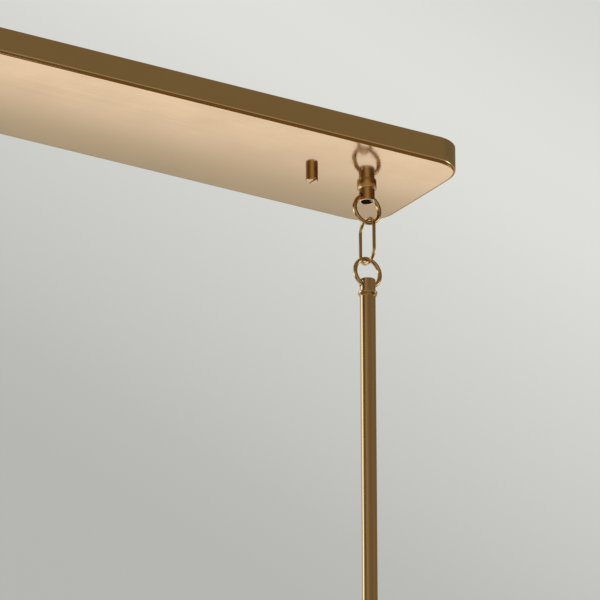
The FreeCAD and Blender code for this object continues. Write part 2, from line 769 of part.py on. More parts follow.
def make_socket_cup(name, x):
    """A turned brass cup: collar and neck above, a rounded shoulder, a lip at the rim."""
    collar = sizes.collar_diameter / 2
    neck = sizes.stem_diameter / 2
    outside = sizes.cup_diameter / 2
    inside = outside - sizes.cup_wall
    lip = sizes.cup_lip / 2
    lip_edge = sizes.cup_lip_height / 2
    bend = sizes.cup_shoulder
    shoulder = sizes.cup_straight + bend
    top = sizes.cup_height
    edge = sizes.collar_round
    corners = [
        (inside, 0.0),
        (lip - lip_edge, 0.0),
        (lip - lip_edge, sizes.cup_lip_height, lip - lip_edge, lip_edge, 1),
        (outside, sizes.cup_lip_height),
        (outside, sizes.cup_straight),
        (outside - bend, shoulder, outside - bend, sizes.cup_straight, 1),
        (neck, shoulder),
        (neck, top - sizes.collar_height),
        (collar - edge, top - sizes.collar_height),
        (collar, top - sizes.collar_height + edge, collar - edge, top - sizes.collar_height + edge, 1),
        (collar, top - edge),
        (collar - edge, top, collar - edge, top - edge, 1),
        (TAPPED / 2, top),
        (TAPPED / 2, sizes.cup_straight),
        (inside, sizes.cup_straight),
    ]
    turned(name, corners, x, 0.0, CUP_Z)


def make_lampholder(name, x):
    """The moulded lampholder, threaded outside for the shade ring."""
    outside = sizes.holder_diameter / 2
    bore = sizes.holder_bore / 2
    top = sizes.holder_height
    roof = top - sizes.holder_top
    corners = [
        (bore, 0.0),
        (outside, 0.0),
        (outside, top),
        (TAPPED / 2, top),
        (TAPPED / 2, roof),
        (bore, roof),
    ]
    turned(name, corners, x, 0.0, HOLDER_Z)


def make_screw_shell(name, x):
    """The brass shell inside the lampholder that takes the bulb."""
    outside = sizes.holder_bore - sizes.thread_play
    inside = outside - sizes.shell_sheet * 2
    tube(name, outside, inside, sizes.shell_length, x, HOLDER_Z + sizes.shell_place)


def make_shade_ring(name, x):
    """The ring that clamps the glass against the cup's rim."""
    inside = (sizes.holder_diameter + sizes.thread_play) / 2
    outside = sizes.shade_ring_diameter / 2
    edge = sizes.collar_round
    top = sizes.shade_ring_height
    corners = [
        (inside, 0.0),
        (outside - edge, 0.0),
        (outside, edge, outside - edge, edge, 1),
        (outside, top - edge),
        (outside - edge, top, outside - edge, top - edge, 1),
        (inside, top),
    ]
    turned(name, corners, x, 0.0, CUP_Z - sizes.shade_wall - top)


def make_shade(name, x):
    """A straight glass cylinder with a round shoulder, a hole above and an open mouth below."""
    outside = sizes.shade_diameter / 2
    inside = outside - sizes.shade_wall
    top = sizes.shade_height
    ceiling = top - sizes.shade_wall
    bend = sizes.shade_corner
    hole = sizes.shade_hole / 2
    lip = sizes.shade_wall / 2
    corners = [
        (outside, lip, outside - lip, lip, 1),
        (outside, top - bend),
        (outside - bend, top, outside - bend, top - bend, 1),
        (hole, top),
        (hole, ceiling),
        (outside - bend, ceiling),
        (inside, top - bend, outside - bend, top - bend, -1),
        (inside, lip),
    ]
    turned(name, corners, x, 0.0, SHADE_Z)


def make_bulb(label, x):
    """A tubular filament bulb: screw base, glass and filaments."""
    base = sizes.base_diameter / 2
    height = sizes.base_height
    contact = sizes.contact_diameter / 2
    corners = [
        (0.0, 0.0),
        (base, 0.0),
        (base, sizes.base_straight),
        (sizes.insulator_diameter / 2, sizes.insulator_place),
        (contact, height - sizes.contact_height),
        (contact, height),
        (0.0, height),
    ]
    turned(f"bulb_base_{label}", corners, x, 0.0, BASE_Z)
    outside = sizes.bulb_diameter / 2
    wall = sizes.bulb_glass_wall
    inside = outside - wall
    neck = sizes.bulb_neck / 2
    top = sizes.bulb_length
    waist = top - outside
    shoulder = top - sizes.bulb_neck_height
    corners = [
        (outside, outside, 0.0, outside, 1),
        (outside, waist),
        (neck, shoulder),
        (neck, top),
        (neck - wall, top),
        (neck - wall, shoulder),
        (inside, waist),
        (inside, outside),
        (0.0, wall, 0.0, outside, -1),
        (0.0, 0.0),
    ]
    turned(f"bulb_glass_{label}", corners, x, 0.0, BULB_Z)
    make_filament(f"bulb_filament_{label}", x)


def make_filament(name, x):
    """A glass mast with four upright filaments between two wire spiders."""
    rod = sizes.mast_rod / 2
    mast = sizes.mast_diameter / 2
    foot = sizes.mast_foot / 2
    spider = sizes.spider_diameter / 2
    sheet = sizes.spider_height
    high = sizes.filament_length
    flare = sizes.bulb_length - sizes.bulb_diameter
    top = sizes.bulb_length - sizes.bulb_diameter / 2
    corners = [
        (0.0, 0.0),
        (spider, 0.0),
        (spider, sheet),
        (rod, sheet),
        (rod, high - sheet),
        (spider, high - sheet),
        (spider, high),
        (mast, high),
        (foot, flare),
        (foot, top),
        (0.0, top),
    ]
    body = turned(name, corners, x, 0.0, BULB_Z + sizes.bulb_diameter / 2)
    sketch = sketch_on(body, "XY_Plane")
    circle = sizes.filament_circle / 2
    for step in range(4):
        angle = math.radians(90 * step + 45)
        draw_circle(sketch, circle * math.cos(angle), circle * math.sin(angle), sizes.filament_wire)
    pad(body, sketch, sizes.filament_length)


def build():
    """Makes every sub-part."""
    make_canopy()
    make_strap()
    make_studs()
    make_ground_screw()
    make_hanger_fixings()
    upside_down = turn((1, 0, 0), 180)
    for side, sign in SIDES:
        x = HANGER_X * sign
        make_knob(f"knob_{side}", KNOB_X * sign)
        make_cap(f"hang_cap_{side}", x, UNDERSIDE, upside_down)
        make_ring(f"upper_ring_{side}", x, UPPER_RING_Z)
        make_link(f"link_{side}", x)
        make_ring(f"lower_ring_{side}", x, LOWER_RING_Z)
        make_cap(f"stem_cap_{side}", x, STEM_TOP)
        make_stem(f"upper_stem_{side}", x, STEM_TOP, sizes.upper_stem_length)
        make_coupler(f"stem_coupler_{side}", x)
        make_stem(f"lower_stem_{side}", x, LOWER_STEM_TOP, sizes.lower_stem_length)
        make_finial(f"rail_finial_{side}", sign)
    make_cap_nipples()
    make_rail()
    make_set_screws()
    make_hub_nipples()
    for label, sign in LIGHTS:
        x = HANGER_X * sign
        make_hub(f"hub_{label}", sign)
        make_socket_cup(f"socket_cup_{label}", x)
        make_lampholder(f"lampholder_{label}", x)
        make_screw_shell(f"screw_shell_{label}", x)
        make_shade_ring(f"shade_ring_{label}", x)
        make_shade(f"shade_{label}", x)
        make_bulb(label, x)


def check(thing):
    """Stops if a sub-part or one of its features failed."""
    for feature in [thing] + list(getattr(thing, "Group", [])):
        if "Invalid" in feature.State or "Error" in feature.State:
            raise RuntimeError(f"{feature.Name}: {feature.State}")
    if thing.Shape.isNull() or not thing.Shape.isValid():
        raise RuntimeError(f"{thing.Name}: the shape is not valid")


def write_parts():
    """Writes each sub-part to a file named by its label."""
    os.makedirs("parts", exist_ok=True)
    kinds = ("PartDesign::Body", "Part::Torus")
    parts = [thing for thing in doc.Objects if thing.TypeId in kinds]
    for thing in parts:
        check(thing)
    for thing in parts:
        thing.Shape.exportStep(f"parts/{thing.Label}.step")
    print(f"{len(parts)} sub-parts")


build()
doc.recompute()
write_parts()
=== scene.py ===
import math

import bmesh
import bpy
from mathutils import Matrix, Vector


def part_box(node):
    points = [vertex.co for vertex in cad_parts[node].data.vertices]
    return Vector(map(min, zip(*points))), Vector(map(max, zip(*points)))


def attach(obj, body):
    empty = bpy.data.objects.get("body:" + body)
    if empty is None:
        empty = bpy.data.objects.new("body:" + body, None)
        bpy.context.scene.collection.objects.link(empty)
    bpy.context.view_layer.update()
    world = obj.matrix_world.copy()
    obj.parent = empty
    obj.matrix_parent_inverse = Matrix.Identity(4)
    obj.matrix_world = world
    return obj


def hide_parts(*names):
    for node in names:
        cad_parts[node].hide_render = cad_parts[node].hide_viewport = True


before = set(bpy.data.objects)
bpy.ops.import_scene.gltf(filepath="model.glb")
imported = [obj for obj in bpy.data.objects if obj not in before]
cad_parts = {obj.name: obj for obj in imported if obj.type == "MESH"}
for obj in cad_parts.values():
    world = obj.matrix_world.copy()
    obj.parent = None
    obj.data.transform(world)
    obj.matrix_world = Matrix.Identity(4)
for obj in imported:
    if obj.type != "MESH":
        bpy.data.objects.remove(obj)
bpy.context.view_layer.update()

# Linear island pendant: materials, detailed pieces, surroundings and camera.
# The scene is in metres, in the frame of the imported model; the pieces are drawn in millimetres.

MM = 0.001
FULL_TURN = 2.0 * math.pi
SIDES = (("left", -1), ("right", 1))
LIGHTS = (("left", -1), ("centre", 0), ("right", 1))

# places and sizes shared with the solids, in millimetres
HANGER_X = 335.6
KNOB_X = 290.5
UNDERSIDE = -19.05
CANOPY_LENGTH, CANOPY_WIDTH = 762.0, 120.65
CANOPY_CORNER, CANOPY_EDGE, CANOPY_WALL = 24.5, 2.6, 1.2
UPPER_RING_Z, LOWER_RING_Z = -37.616, -85.384
RING_RADIUS, RING_WIRE = 10.05, 3.1
LINK_BEND, LINK_WIRE, SOLID_LINK_WIRE = 8.7, 2.4, 2.2
CAP_RADIUS, CAP_BORE, CAP_TAPPED, CAP_HEIGHT = 5.55, 4.1, 4.03, 13.1
CROSS_HOLE, CROSS_HOLE_HEIGHT = 2.5, 9.75
STEM_TOP = -103.95
RAIL_Z = -575.15
HOLDER_Z = -668.15
SHADE_Z = -794.15
BULB_Z = -751.15
BASE_Z = -667.15
NIPPLE_BORE = 2.7

# threads, as outer radius, depth, pitch and chamfer at the ends
NIPPLE_THREAD = (4.0, 0.5, 0.94, 0.5)
STUD_THREAD = (2.0, 0.42, 0.79, 0.5)
GROUND_THREAD = (2.0, 0.4, 0.79, 0.5)
SET_SCREW_THREAD = (1.5, 0.25, 0.5, 0.3)
# the pitch of the bulb's screw base and of the shell that takes it
BULB_PITCH = 3.63


# Node graphs


class Graph:
    """A short way to write a material's or the world's nodes."""

    def __init__(self, tree):
        self.tree = tree
        tree.nodes.clear()

    def add(self, kind, **values):
        node = self.tree.nodes.new(kind)
        for name, value in values.items():
            setattr(node, name, value)
        return node

    def put(self, socket, value):
        if isinstance(value, bpy.types.NodeSocket):
            self.tree.links.new(value, socket)
        elif isinstance(value, (tuple, list)) and len(value) == 3 and socket.type == "RGBA":
            socket.default_value = (*value, 1.0)
        else:
            socket.default_value = value

    def fill(self, node, values):
        for socket, value in zip(node.inputs, values):
            self.put(socket, value)
        return node.outputs[0]

    def math(self, kind, first, second=0.0):
        return self.fill(self.add("ShaderNodeMath", operation=kind), (first, second))

    def vector(self, kind, first, second=(0.0, 0.0, 0.0)):
        node = self.add("ShaderNodeVectorMath", operation=kind)
        self.fill(node, (first, second))
        return node.outputs["Value" if kind in ("DOT_PRODUCT", "LENGTH") else "Vector"]

    def split(self, vector):
        node = self.add("ShaderNodeSeparateXYZ")
        self.put(node.inputs[0], vector)
        return tuple(node.outputs)

    def join(self, x, y, z):
        return self.fill(self.add("ShaderNodeCombineXYZ"), (x, y, z))

    def noise(self, vector, scale, detail, rough):
        node = self.add("ShaderNodeTexNoise")
        for name, value in (("Vector", vector), ("Scale", scale), ("Detail", detail), ("Roughness", rough)):
            self.put(node.inputs[name], value)
        return node.outputs["Fac"]

    def span(self, value, low, high, to_low=0.0, to_high=1.0, smooth=False):
        node = self.add("ShaderNodeMapRange")
        node.interpolation_type = "SMOOTHSTEP" if smooth else "LINEAR"
        return self.fill(node, (value, low, high, to_low, to_high))

    def mix(self, share, first, second):
        # the node's colours come after its numbers and vectors
        node = self.add("ShaderNodeMix", data_type="RGBA")
        self.put(node.inputs[0], share)
        self.put(node.inputs[6], first)
        self.put(node.inputs[7], second)
        return node.outputs[2]

    def ramp(self, value, stops):
        node = self.add("ShaderNodeValToRGB")
        node.color_ramp.interpolation = "LINEAR"
        elements = node.color_ramp.elements
        while len(elements) < len(stops):
            elements.new(1.0)
        for element, (place, colour) in zip(elements, stops):
            element.position = place
            element.color = (*colour, 1.0)
        self.put(node.inputs[0], value)
        return node.outputs[0]

    def bump(self, height, distance):
        node = self.add("ShaderNodeBump")
        node.inputs["Strength"].default_value = 1.0
        node.inputs["Distance"].default_value = distance
        self.put(node.inputs["Height"], height)
        return node.outputs[0]

    def end(self, kind, shader):
        out = self.add(kind)
        self.tree.links.new(shader.outputs[0], out.inputs["Surface"])


def new_graph(name):
    """A material with an empty graph, and the object's own coordinates in it."""
    material = bpy.data.materials.new(name)
    material.use_nodes = True
    graph = Graph(material.node_tree)
    return material, graph, graph.add("ShaderNodeTexCoord").outputs["Object"]


def surface(graph, **values):
    """The material's shader. A number goes on its socket, an output is linked to it."""
    shader = graph.add("ShaderNodeBsdfPrincipled")
    for name, value in values.items():
        graph.put(shader.inputs[name.replace("_", " ")], value)
    graph.end("ShaderNodeOutputMaterial", shader)


# Materials

BRASS = (0.77, 0.55, 0.30)
BRASS_DEEP = (0.72, 0.50, 0.26)
BRASS_DUST = (0.36, 0.22, 0.10)
# painted shade: the near black of the caps' bores, and the width over which it sets in
BORE_PAINTED_SHADE = (0.008, 0.006, 0.005)
BORE_SHADE_EDGE = 0.0001


def brass(name, grain, rough, streak=0.35, height=0.9e-6, bore=0.0, shade=1.0):
    """Lacquered brass. The grain is the number of noise cells per metre along each axis.

    Within the bore's radius of a hanger's axis the colour is painted near black: painted shade in the bore.
    A shade under 1 darkens the colour throughout: painted shade.
    """
    material, graph, place = new_graph(name)
    lines = graph.noise(graph.vector("MULTIPLY", place, grain), 1.0, 3.0, 0.6)
    clouds = graph.noise(place, 22.0, 3.0, 0.55)
    specks = graph.noise(place, 900.0, 2.0, 0.6)
    streaks = graph.math("MULTIPLY", lines, streak)
    tone = graph.math("ADD", streaks, graph.math("MULTIPLY", clouds, 1.0 - streak))
    # a shade under 1 is painted shade on both colours
    light, deep = (tuple(part * shade for part in colour) for colour in (BRASS, BRASS_DEEP))
    colour = graph.mix(graph.span(tone, 0.3, 0.7), light, deep)
    dust = graph.span(specks, 0.66, 0.78)
    colour = graph.mix(graph.math("MULTIPLY", dust, 0.18), colour, BRASS_DUST)
    roughness = graph.math("ADD", graph.span(lines, 0.25, 0.75, rough - 0.02, rough + 0.03),
                           graph.span(clouds, 0.35, 0.75, 0.0, 0.03))
    metal = 1.0
    # painted shade: within the bore's radius the colour turns near black, matte and not metal
    if bore:
        x, y, _ = graph.split(place)
        aside = graph.math("SUBTRACT", graph.math("ABSOLUTE", x), HANGER_X * MM)
        distance = graph.vector("LENGTH", graph.join(aside, y, 0.0))
        inside = graph.span(distance, bore, bore + BORE_SHADE_EDGE, 1.0, 0.0)
        colour = graph.mix(inside, colour, BORE_PAINTED_SHADE)
        roughness = graph.math("MAXIMUM", roughness, graph.math("MULTIPLY", inside, 0.6))
        metal = graph.math("SUBTRACT", 1.0, inside)
    surface(
        graph,
        Base_Color=colour,
        Metallic=metal,
        Roughness=roughness,
        Coat_Weight=0.8,
        Coat_Roughness=0.09,
        Normal=graph.bump(lines, height),
    )
    return material


def steel(name, colour, tint, rough):
    """Zinc plate with its faint rainbow and small spangles."""
    material, graph, place = new_graph(name)
    clouds = graph.noise(place, 60.0, 3.0, 0.6)
    grain = graph.noise(place, 1400.0, 2.0, 0.6)
    surface(
        graph,
        Base_Color=graph.mix(graph.span(clouds, 0.35, 0.7), colour, tint),
        Metallic=1.0,
        Roughness=graph.span(grain, 0.3, 0.7, rough, rough + 0.12),
        Normal=graph.bump(grain, 2.0e-6),
    )
    return material


def paint(name, colour, deep, rough):
    """Green paint, a little uneven over the metal."""
    material, graph, place = new_graph(name)
    clouds = graph.noise(place, 300.0, 3.0, 0.6)
    surface(
        graph,
        Base_Color=graph.mix(graph.span(clouds, 0.35, 0.7), colour, deep),
        Metallic=0.35,
        Roughness=graph.span(clouds, 0.3, 0.7, rough, rough + 0.1),
        Coat_Weight=0.3,
        Coat_Roughness=0.2,
        Normal=graph.bump(clouds, 1.0e-5),
    )
    return material


def moulding(name):
    """Black thermoset with a fine skin and scattered filler specks."""
    material, graph, place = new_graph(name)
    skin = graph.noise(place, 1500.0, 2.0, 0.5)
    specks = graph.span(graph.noise(place, 2600.0, 1.0, 0.5), 0.68, 0.76)
    clouds = graph.noise(place, 40.0, 2.0, 0.5)
    colour = graph.mix(clouds, (0.018, 0.017, 0.016), (0.032, 0.030, 0.028))
    surface(
        graph,
        Base_Color=graph.mix(graph.math("MULTIPLY", specks, 0.5), colour, (0.09, 0.085, 0.08)),
        Roughness=graph.span(clouds, 0.3, 0.7, 0.30, 0.42),
        Normal=graph.bump(skin, 6.0e-6),
    )
    return material


def glass(name, tint, wave_scale, wave_height):
    """Clear blown glass with faint waves."""
    material, graph, place = new_graph(name)
    waves = graph.noise(graph.vector("MULTIPLY", place, (1.0, 1.0, 0.35)), wave_scale, 1.0, 0.4)
    film = graph.noise(place, 35.0, 3.0, 0.6)
    surface(
        graph,
        Base_Color=graph.mix(film, tint, (0.985, 0.99, 0.99)),
        Roughness=graph.span(film, 0.45, 0.8, 0.0, 0.012),
        IOR=1.5,
        Transmission_Weight=1.0,
        Normal=graph.bump(waves, wave_height),
    )
    return material


def phosphor(name):
    """The yellow silicone and phosphor round a filament."""
    material, graph, place = new_graph(name)
    beads = graph.noise(graph.vector("MULTIPLY", place, (400.0, 400.0, 900.0)), 1.0, 2.0, 0.5)
    surface(
        graph,
        Base_Color=graph.mix(graph.span(beads, 0.35, 0.65), (0.78, 0.46, 0.07), (0.62, 0.33, 0.04)),
        Roughness=0.42,
        Subsurface_Weight=0.15,
        Subsurface_Scale=0.002,
        Normal=graph.bump(beads, 3.0e-5),
    )
    return material


TURNED_GRAIN = (60.0, 60.0, 2600.0)
MATERIALS = {
    "sheet": brass("brass_sheet", (9.0, 1500.0, 1500.0), 0.10, height=0.4e-6),
    "stem": brass("brass_drawn_upright", (1700.0, 1700.0, 10.0), 0.12, height=0.05e-6),
    "rail": brass("brass_drawn_level", (10.0, 1700.0, 1700.0), 0.12, height=0.05e-6),
    "turned": brass("brass_turned", TURNED_GRAIN, 0.14),
    # its bore gets painted shade, near black
    "cap": brass("brass_cap", TURNED_GRAIN, 0.14, bore=4.15e-3),
    # the rings and link are painted darker with shade=0.84: painted shade
    "wire": brass("brass_wire", (500.0, 500.0, 500.0), 0.10, 0.2, height=0.5e-6, shade=0.84),
    "shell": brass("brass_stamped", (300.0, 300.0, 900.0), 0.20),
    "nickel": steel("nickel_bright", (0.72, 0.69, 0.63), (0.66, 0.62, 0.55), 0.16),
    "zinc": steel("zinc_plate", (0.60, 0.60, 0.58), (0.66, 0.62, 0.50), 0.26),
    "solder": steel("solder_contact", (0.50, 0.50, 0.50), (0.42, 0.42, 0.43), 0.38),
    "green": paint("green_paint", (0.02, 0.13, 0.04), (0.012, 0.09, 0.03), 0.30),
    "black": moulding("black_moulding"),
    "glass": glass("shade_glass", (0.965, 0.985, 0.975), 30.0, 1.2e-4),
    "bulb": glass("bulb_glass", (0.99, 0.985, 0.97), 60.0, 3.0e-5),
    "phosphor": phosphor("filament_phosphor"),
}

# the solids that show as they are, beside those of turned brass
NODE_MATERIALS = {"mounting_strap": "zinc", "upper_stem": "stem", "lower_stem": "stem", "rail_tube": "rail"}


def dress_nodes():
    """Gives every carried-over solid its procedural material."""
    for name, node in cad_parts.items():
        chosen = [key for start, key in NODE_MATERIALS.items() if name.startswith(start)]
        node.data.materials.clear()
        node.data.materials.append(MATERIALS[chosen[0] if chosen else "turned"])


# Meshes


def plain_mesh(name, points, faces):
    """A mesh from points in millimetres."""
    mesh = bpy.data.meshes.new(name)
    mesh.from_pydata([(x * MM, y * MM, z * MM) for x, y, z in points], [], faces)
    return mesh


def new_object(name, data):
    """An object with this data, in the scene."""
    thing = bpy.data.objects.new(name, data)
    bpy.context.scene.collection.objects.link(thing)
    return thing


def smooth(mesh, sharp):
    """Shades a mesh smooth, but for edges over the sharp angle in degrees."""
    mesh.polygons.foreach_set("use_smooth", [True] * len(mesh.polygons))
    mesh.set_sharp_from_angle(angle=math.radians(sharp))


def circle(reach, z, segments, x=0.0, y=0.0):
    """A level loop about an upright axis. The reach is a radius, or gives the radius at an angle."""
    row = []
    for j in range(segments):
        angle = FULL_TURN * j / segments
        out = reach(angle) if callable(reach) else reach
        row.append((x + out * math.cos(angle), y + out * math.sin(angle), z))
    return row


class Form:
    """Points and faces in millimetres, gathered before they become a piece."""

    def __init__(self):
        self.points = []
        self.faces = []

    def loops(self, rows, closed_rows=False, capped=False):
        """Skins closed loops of equal length, outside to the right of their direction."""
        count = len(rows[0])
        start = len(self.points)
        for row in rows:
            self.points.extend(row)
        last = len(rows) if closed_rows else len(rows) - 1
        for i in range(last):
            a = start + i * count
            b = start + ((i + 1) % len(rows)) * count
            for j in range(count):
                k = (j + 1) % count
                self.faces.append((a + j, a + k, b + k, b + j))
        if capped:
            end = start + (len(rows) - 1) * count
            self.faces.append(tuple(start + j for j in reversed(range(count))))
            self.faces.append(tuple(end + j for j in range(count)))

    def turned(self, profile, x=0.0, y=0.0, z=0.0, segments=96, radius=None):
        """Revolves (radius, height) corners about an upright axis; radius(r, angle, h) may shape them."""
        closed = profile[0][0] > 0.0
        steps = profile if closed else profile[1:-1]
        rows = []
        for r, h in steps:
            rows.append(circle((lambda angle: radius(r, angle, h)) if radius else r, z + h, segments, x, y))
        start = len(self.points)
        self.loops(rows, closed_rows=closed)
        if not closed:
            for end, flip in ((0, True), (len(steps) - 1, False)):
                tip = len(self.points)
                self.points.append((x, y, z + (profile[0] if flip else profile[-1])[1]))
                for j in range(segments):
                    a = start + end * segments + j
                    b = start + end * segments + (j + 1) % segments
                    self.faces.append((tip, b, a) if flip else (tip, a, b))

    def turn_about(self, matrix):
        """Moves every point with a 4x4 matrix."""
        self.points = [tuple(matrix @ Vector(point)) for point in self.points]

    def tube(self, path, radius, sides, closed=False):
        """A round wire along a path of points."""
        rows = []
        count = len(path)
        side = None
        for i, here in enumerate(path):
            before = Vector(path[i - 1 if closed else max(i - 1, 0)])
            after = Vector(path[(i + 1) % count if closed else min(i + 1, count - 1)])
            along = (after - before).normalized()
            if side is None:
                side = along.orthogonal().normalized()
            side = (side - along * side.dot(along)).normalized()
            across = along.cross(side)
            row = []
            for j in range(sides):
                angle = FULL_TURN * j / sides
                point = Vector(here) + (side * math.cos(angle) + across * math.sin(angle)) * radius
                row.append(tuple(point))
            rows.append(row)
        self.loops(rows, closed_rows=closed, capped=not closed)

    def finish(self, name, material, body, slot, nodes=(), sharp=35.0):
        """Makes the finished piece, riding on a body."""
        mesh = plain_mesh(name, self.points, self.faces)
        mesh.validate()
        mesh.update()
        smooth(mesh, sharp)
        mesh.materials.append(MATERIALS[material])
        thing = new_object(name, mesh)
        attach(thing, body)
        if nodes:
            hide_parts(*nodes)
        return thing


def levels(low, high, step):
    """Evenly spaced heights, about a step apart."""
    count = max(2, int(round((high - low) / step)) + 1)
    return [low + (high - low) * i / (count - 1) for i in range(count)]


def arc(x, h, radius, start, end, steps):
    """Points of an arc in a turned profile; angles in degrees from outward, anticlockwise."""
    points = []
    for i in range(steps + 1):
        angle = math.radians(start + (end - start) * i / steps)
        points.append((x + radius * math.cos(angle), h + radius * math.sin(angle)))
    return points


def thread(depth, pitch, low, high, sharpness=1.0):
    """A radius function that cuts a screw thread between two heights, running out at both ends."""

    def radius(r, angle, h):
        phase = (h / pitch - angle / FULL_TURN) % 1.0
        crest = (0.5 + 0.5 * math.cos(FULL_TURN * phase)) ** sharpness
        fade = min(1.0, max(0.0, (h - low) / pitch)) * min(1.0, max(0.0, (high - h) / pitch))
        return r - depth * (1.0 - crest) * fade

    return radius


def threaded_rows(size, low, high, segments, x=0.0, foot=0.0, both_ends=True):
    """Loops of a thread between two heights above the foot, chamfered at its ends."""
    outside, depth, pitch, chamfer = size
    cut = thread(depth, pitch, low, high, 0.8)
    rows = []
    for h in levels(low, high, pitch / 8):
        near = min(h - low, high - h) if both_ends else high - h
        tip = outside - chamfer + near
        rows.append(circle(lambda angle: min(cut(outside, angle, h), tip), foot + h, segments, x))
    return rows


def hexagon(flats, angle):
    """How far a hexagon's edge is from its middle at an angle."""
    part = (angle + math.pi / 6.0) % (math.pi / 3.0) - math.pi / 6.0
    return flats / 2.0 / math.cos(part)


def chamfered(flats, chamfer, near, angle):
    """The same, turned down to a cone within the chamfer of an end."""
    reach = hexagon(flats, angle)
    return min(reach, flats * 0.51 + near * 2.0) if near < chamfer else reach


def heights(node):
    """A solid's lowest and highest level and its height, in millimetres."""
    low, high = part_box(node)
    return low.z / MM, high.z / MM, (high.z - low.z) / MM


def merge_close(thing):
    """Joins points that meet, and makes every face look outward."""
    work = bmesh.new()
    work.from_mesh(thing.data)
    bmesh.ops.remove_doubles(work, verts=work.verts, dist=2.0e-6)
    bmesh.ops.recalc_face_normals(work, faces=work.faces)
    work.to_mesh(thing.data)
    work.free()


def cut_away(thing, form):
    """Takes a form out of a piece."""
    mesh = plain_mesh("drill", form.points, form.faces)
    cutter = new_object("drill", mesh)
    cut = thing.modifiers.new("drill", "BOOLEAN")
    cut.operation = "DIFFERENCE"
    cut.solver = "EXACT"
    cut.object = cutter
    bpy.context.view_layer.update()
    evaluated = thing.evaluated_get(bpy.context.evaluated_depsgraph_get())
    result = bpy.data.meshes.new_from_object(evaluated)
    thing.modifiers.clear()
    thing.data = result
    bpy.data.objects.remove(cutter)
    bpy.data.meshes.remove(mesh)
    smooth(result, 40.0)


def rod(radius, half, x=0.0, z=0.0, segments=48):
    """An upright solid cylinder about a middle, to cut a hole with."""
    form = Form()
    form.turned([(0.0, -half), (radius, -half), (radius, half), (0.0, half)], x, 0.0, z, segments)
    return form


# The canopy

CROWN = 0.45
SAG = 0.15
RIM_ROUND = 0.15
INNER_EDGE = 1.0
HALF_X = CANOPY_LENGTH / 2 - CANOPY_CORNER
HALF_Y = CANOPY_WIDTH / 2 - CANOPY_CORNER
LONG_STEPS, SHORT_STEPS, CORNER_STEPS = 240, 24, 16


def crowned(z, y, crown):
    """The sheet's height: a little lower along its middle and higher at its long edges."""
    return z - SAG * crown / CROWN + crown * (y / (CANOPY_WIDTH / 2)) ** 2


def outline(inset, z, crown=0.0):
    """A rounded rectangle, inset from the canopy's outline, as one loop seen from below."""
    radius = max(CANOPY_CORNER - inset, 0.0)
    loop = []
    corners = ((HALF_X, HALF_Y, 0), (-HALF_X, HALF_Y, 90), (-HALF_X, -HALF_Y, 180), (HALF_X, -HALF_Y, 270))
    for index, (cx, cy, start) in enumerate(corners):
        for step in range(CORNER_STEPS + 1):
            angle = math.radians(start + 90.0 * step / CORNER_STEPS)
            loop.append((cx + radius * math.cos(angle), cy + radius * math.sin(angle)))
        nx, ny, _ = corners[(index + 1) % 4]
        steps = LONG_STEPS if index % 2 == 0 else SHORT_STEPS
        angle = math.radians(start + 90.0)
        ax, ay = radius * math.cos(angle), radius * math.sin(angle)
        for step in range(1, steps):
            t = step / steps
            loop.append((cx + (nx - cx) * t + ax, cy + (ny - cy) * t + ay))
    return [(x, y, crowned(z, y, crown)) for x, y in loop]


def rounded_edge(inset, z, radius, steps):
    """Loops round the edge between the wall and a face at z, while the face's crown grows."""
    rows = []
    for step in range(steps + 1):
        angle = math.radians(90.0 * step / steps)
        inward = inset + radius * (1.0 - math.cos(angle))
        rows.append(outline(inward, z + radius * (1.0 - math.sin(angle)), CROWN * math.sin(angle)))
    return rows


def make_canopy():
    """The drawn pan: straight wall, rounded edge and an underside with a slight crown."""
    form = Form()
    floor = UNDERSIDE + CANOPY_WALL
    outer = [outline(RIM_ROUND, 0.0), outline(0.0, -RIM_ROUND), outline(0.0, UNDERSIDE + CANOPY_EDGE + 6.0)]
    outer += rounded_edge(0.0, UNDERSIDE, CANOPY_EDGE, 8)
    outer += [outline(inset, UNDERSIDE, CROWN) for inset in (3.0, 6.0, 10.0, 14.0, 18.0, 21.5, CANOPY_CORNER)]
    form.loops(outer)
    fill_middle(form, UNDERSIDE, False)
    inner = [outline(RIM_ROUND, 0.0), outline(CANOPY_WALL - RIM_ROUND, 0.0), outline(CANOPY_WALL, -RIM_ROUND)]
    inner += rounded_edge(CANOPY_WALL, floor, INNER_EDGE, 4)
    inner += [outline(inset, floor, CROWN) for inset in (10.0, 18.0, CANOPY_CORNER)]
    form.loops([row[::-1] for row in inner])
    fill_middle(form, floor, True)
    thing = form.finish("canopy_pan", "sheet", "canopy", "satin_brass", ["canopy"], 40.0)
    merge_close(thing)
    for side in (-1, 1):
        for place, radius in ((HANGER_X, 4.05), (KNOB_X, 2.75)):
            cut_away(thing, rod(radius, 4.0, place * side, UNDERSIDE + CANOPY_WALL / 2))


def fill_middle(form, z, flip):
    """The grid inside the last loop of the canopy's underside or floor."""
    start = len(form.points)
    for i in range(LONG_STEPS + 1):
        x = HALF_X - 2.0 * HALF_X * i / LONG_STEPS
        for j in range(SHORT_STEPS + 1):
            y = HALF_Y - 2.0 * HALF_Y * j / SHORT_STEPS
            form.points.append((x, y, crowned(z, y, CROWN)))
    across = SHORT_STEPS + 1
    for i in range(LONG_STEPS):
        for j in range(SHORT_STEPS):
            a = start + i * across + j
            face = (a, a + across, a + across + 1, a + 1)
            form.faces.append(face if flip else face[::-1])


# Fixings


def hex_nut(form, x, z, flats, bore, height):
    """A chamfered nut with a threaded bore."""
    segments = 96
    rows = []
    for h in (0.0, 0.25, 0.5, 0.8, height / 2, height - 0.8, height - 0.5, height - 0.25, height):
        near = min(h, height - h)
        rows.append(circle(lambda angle: chamfered(flats, 0.7, near, angle), z + h, segments, x))
    depth = 0.35
    cut = thread(depth, 0.8, 0.2, height - 0.2)
    for h in reversed(levels(0.0, height, 0.12)):
        flare = max(0.0, 0.6 - min(h, height - h)) / 2
        rows.append(circle(lambda angle: bore - depth - cut(bore / 2, angle, h) + flare, z + h, segments, x))
    form.loops(rows, closed_rows=True)


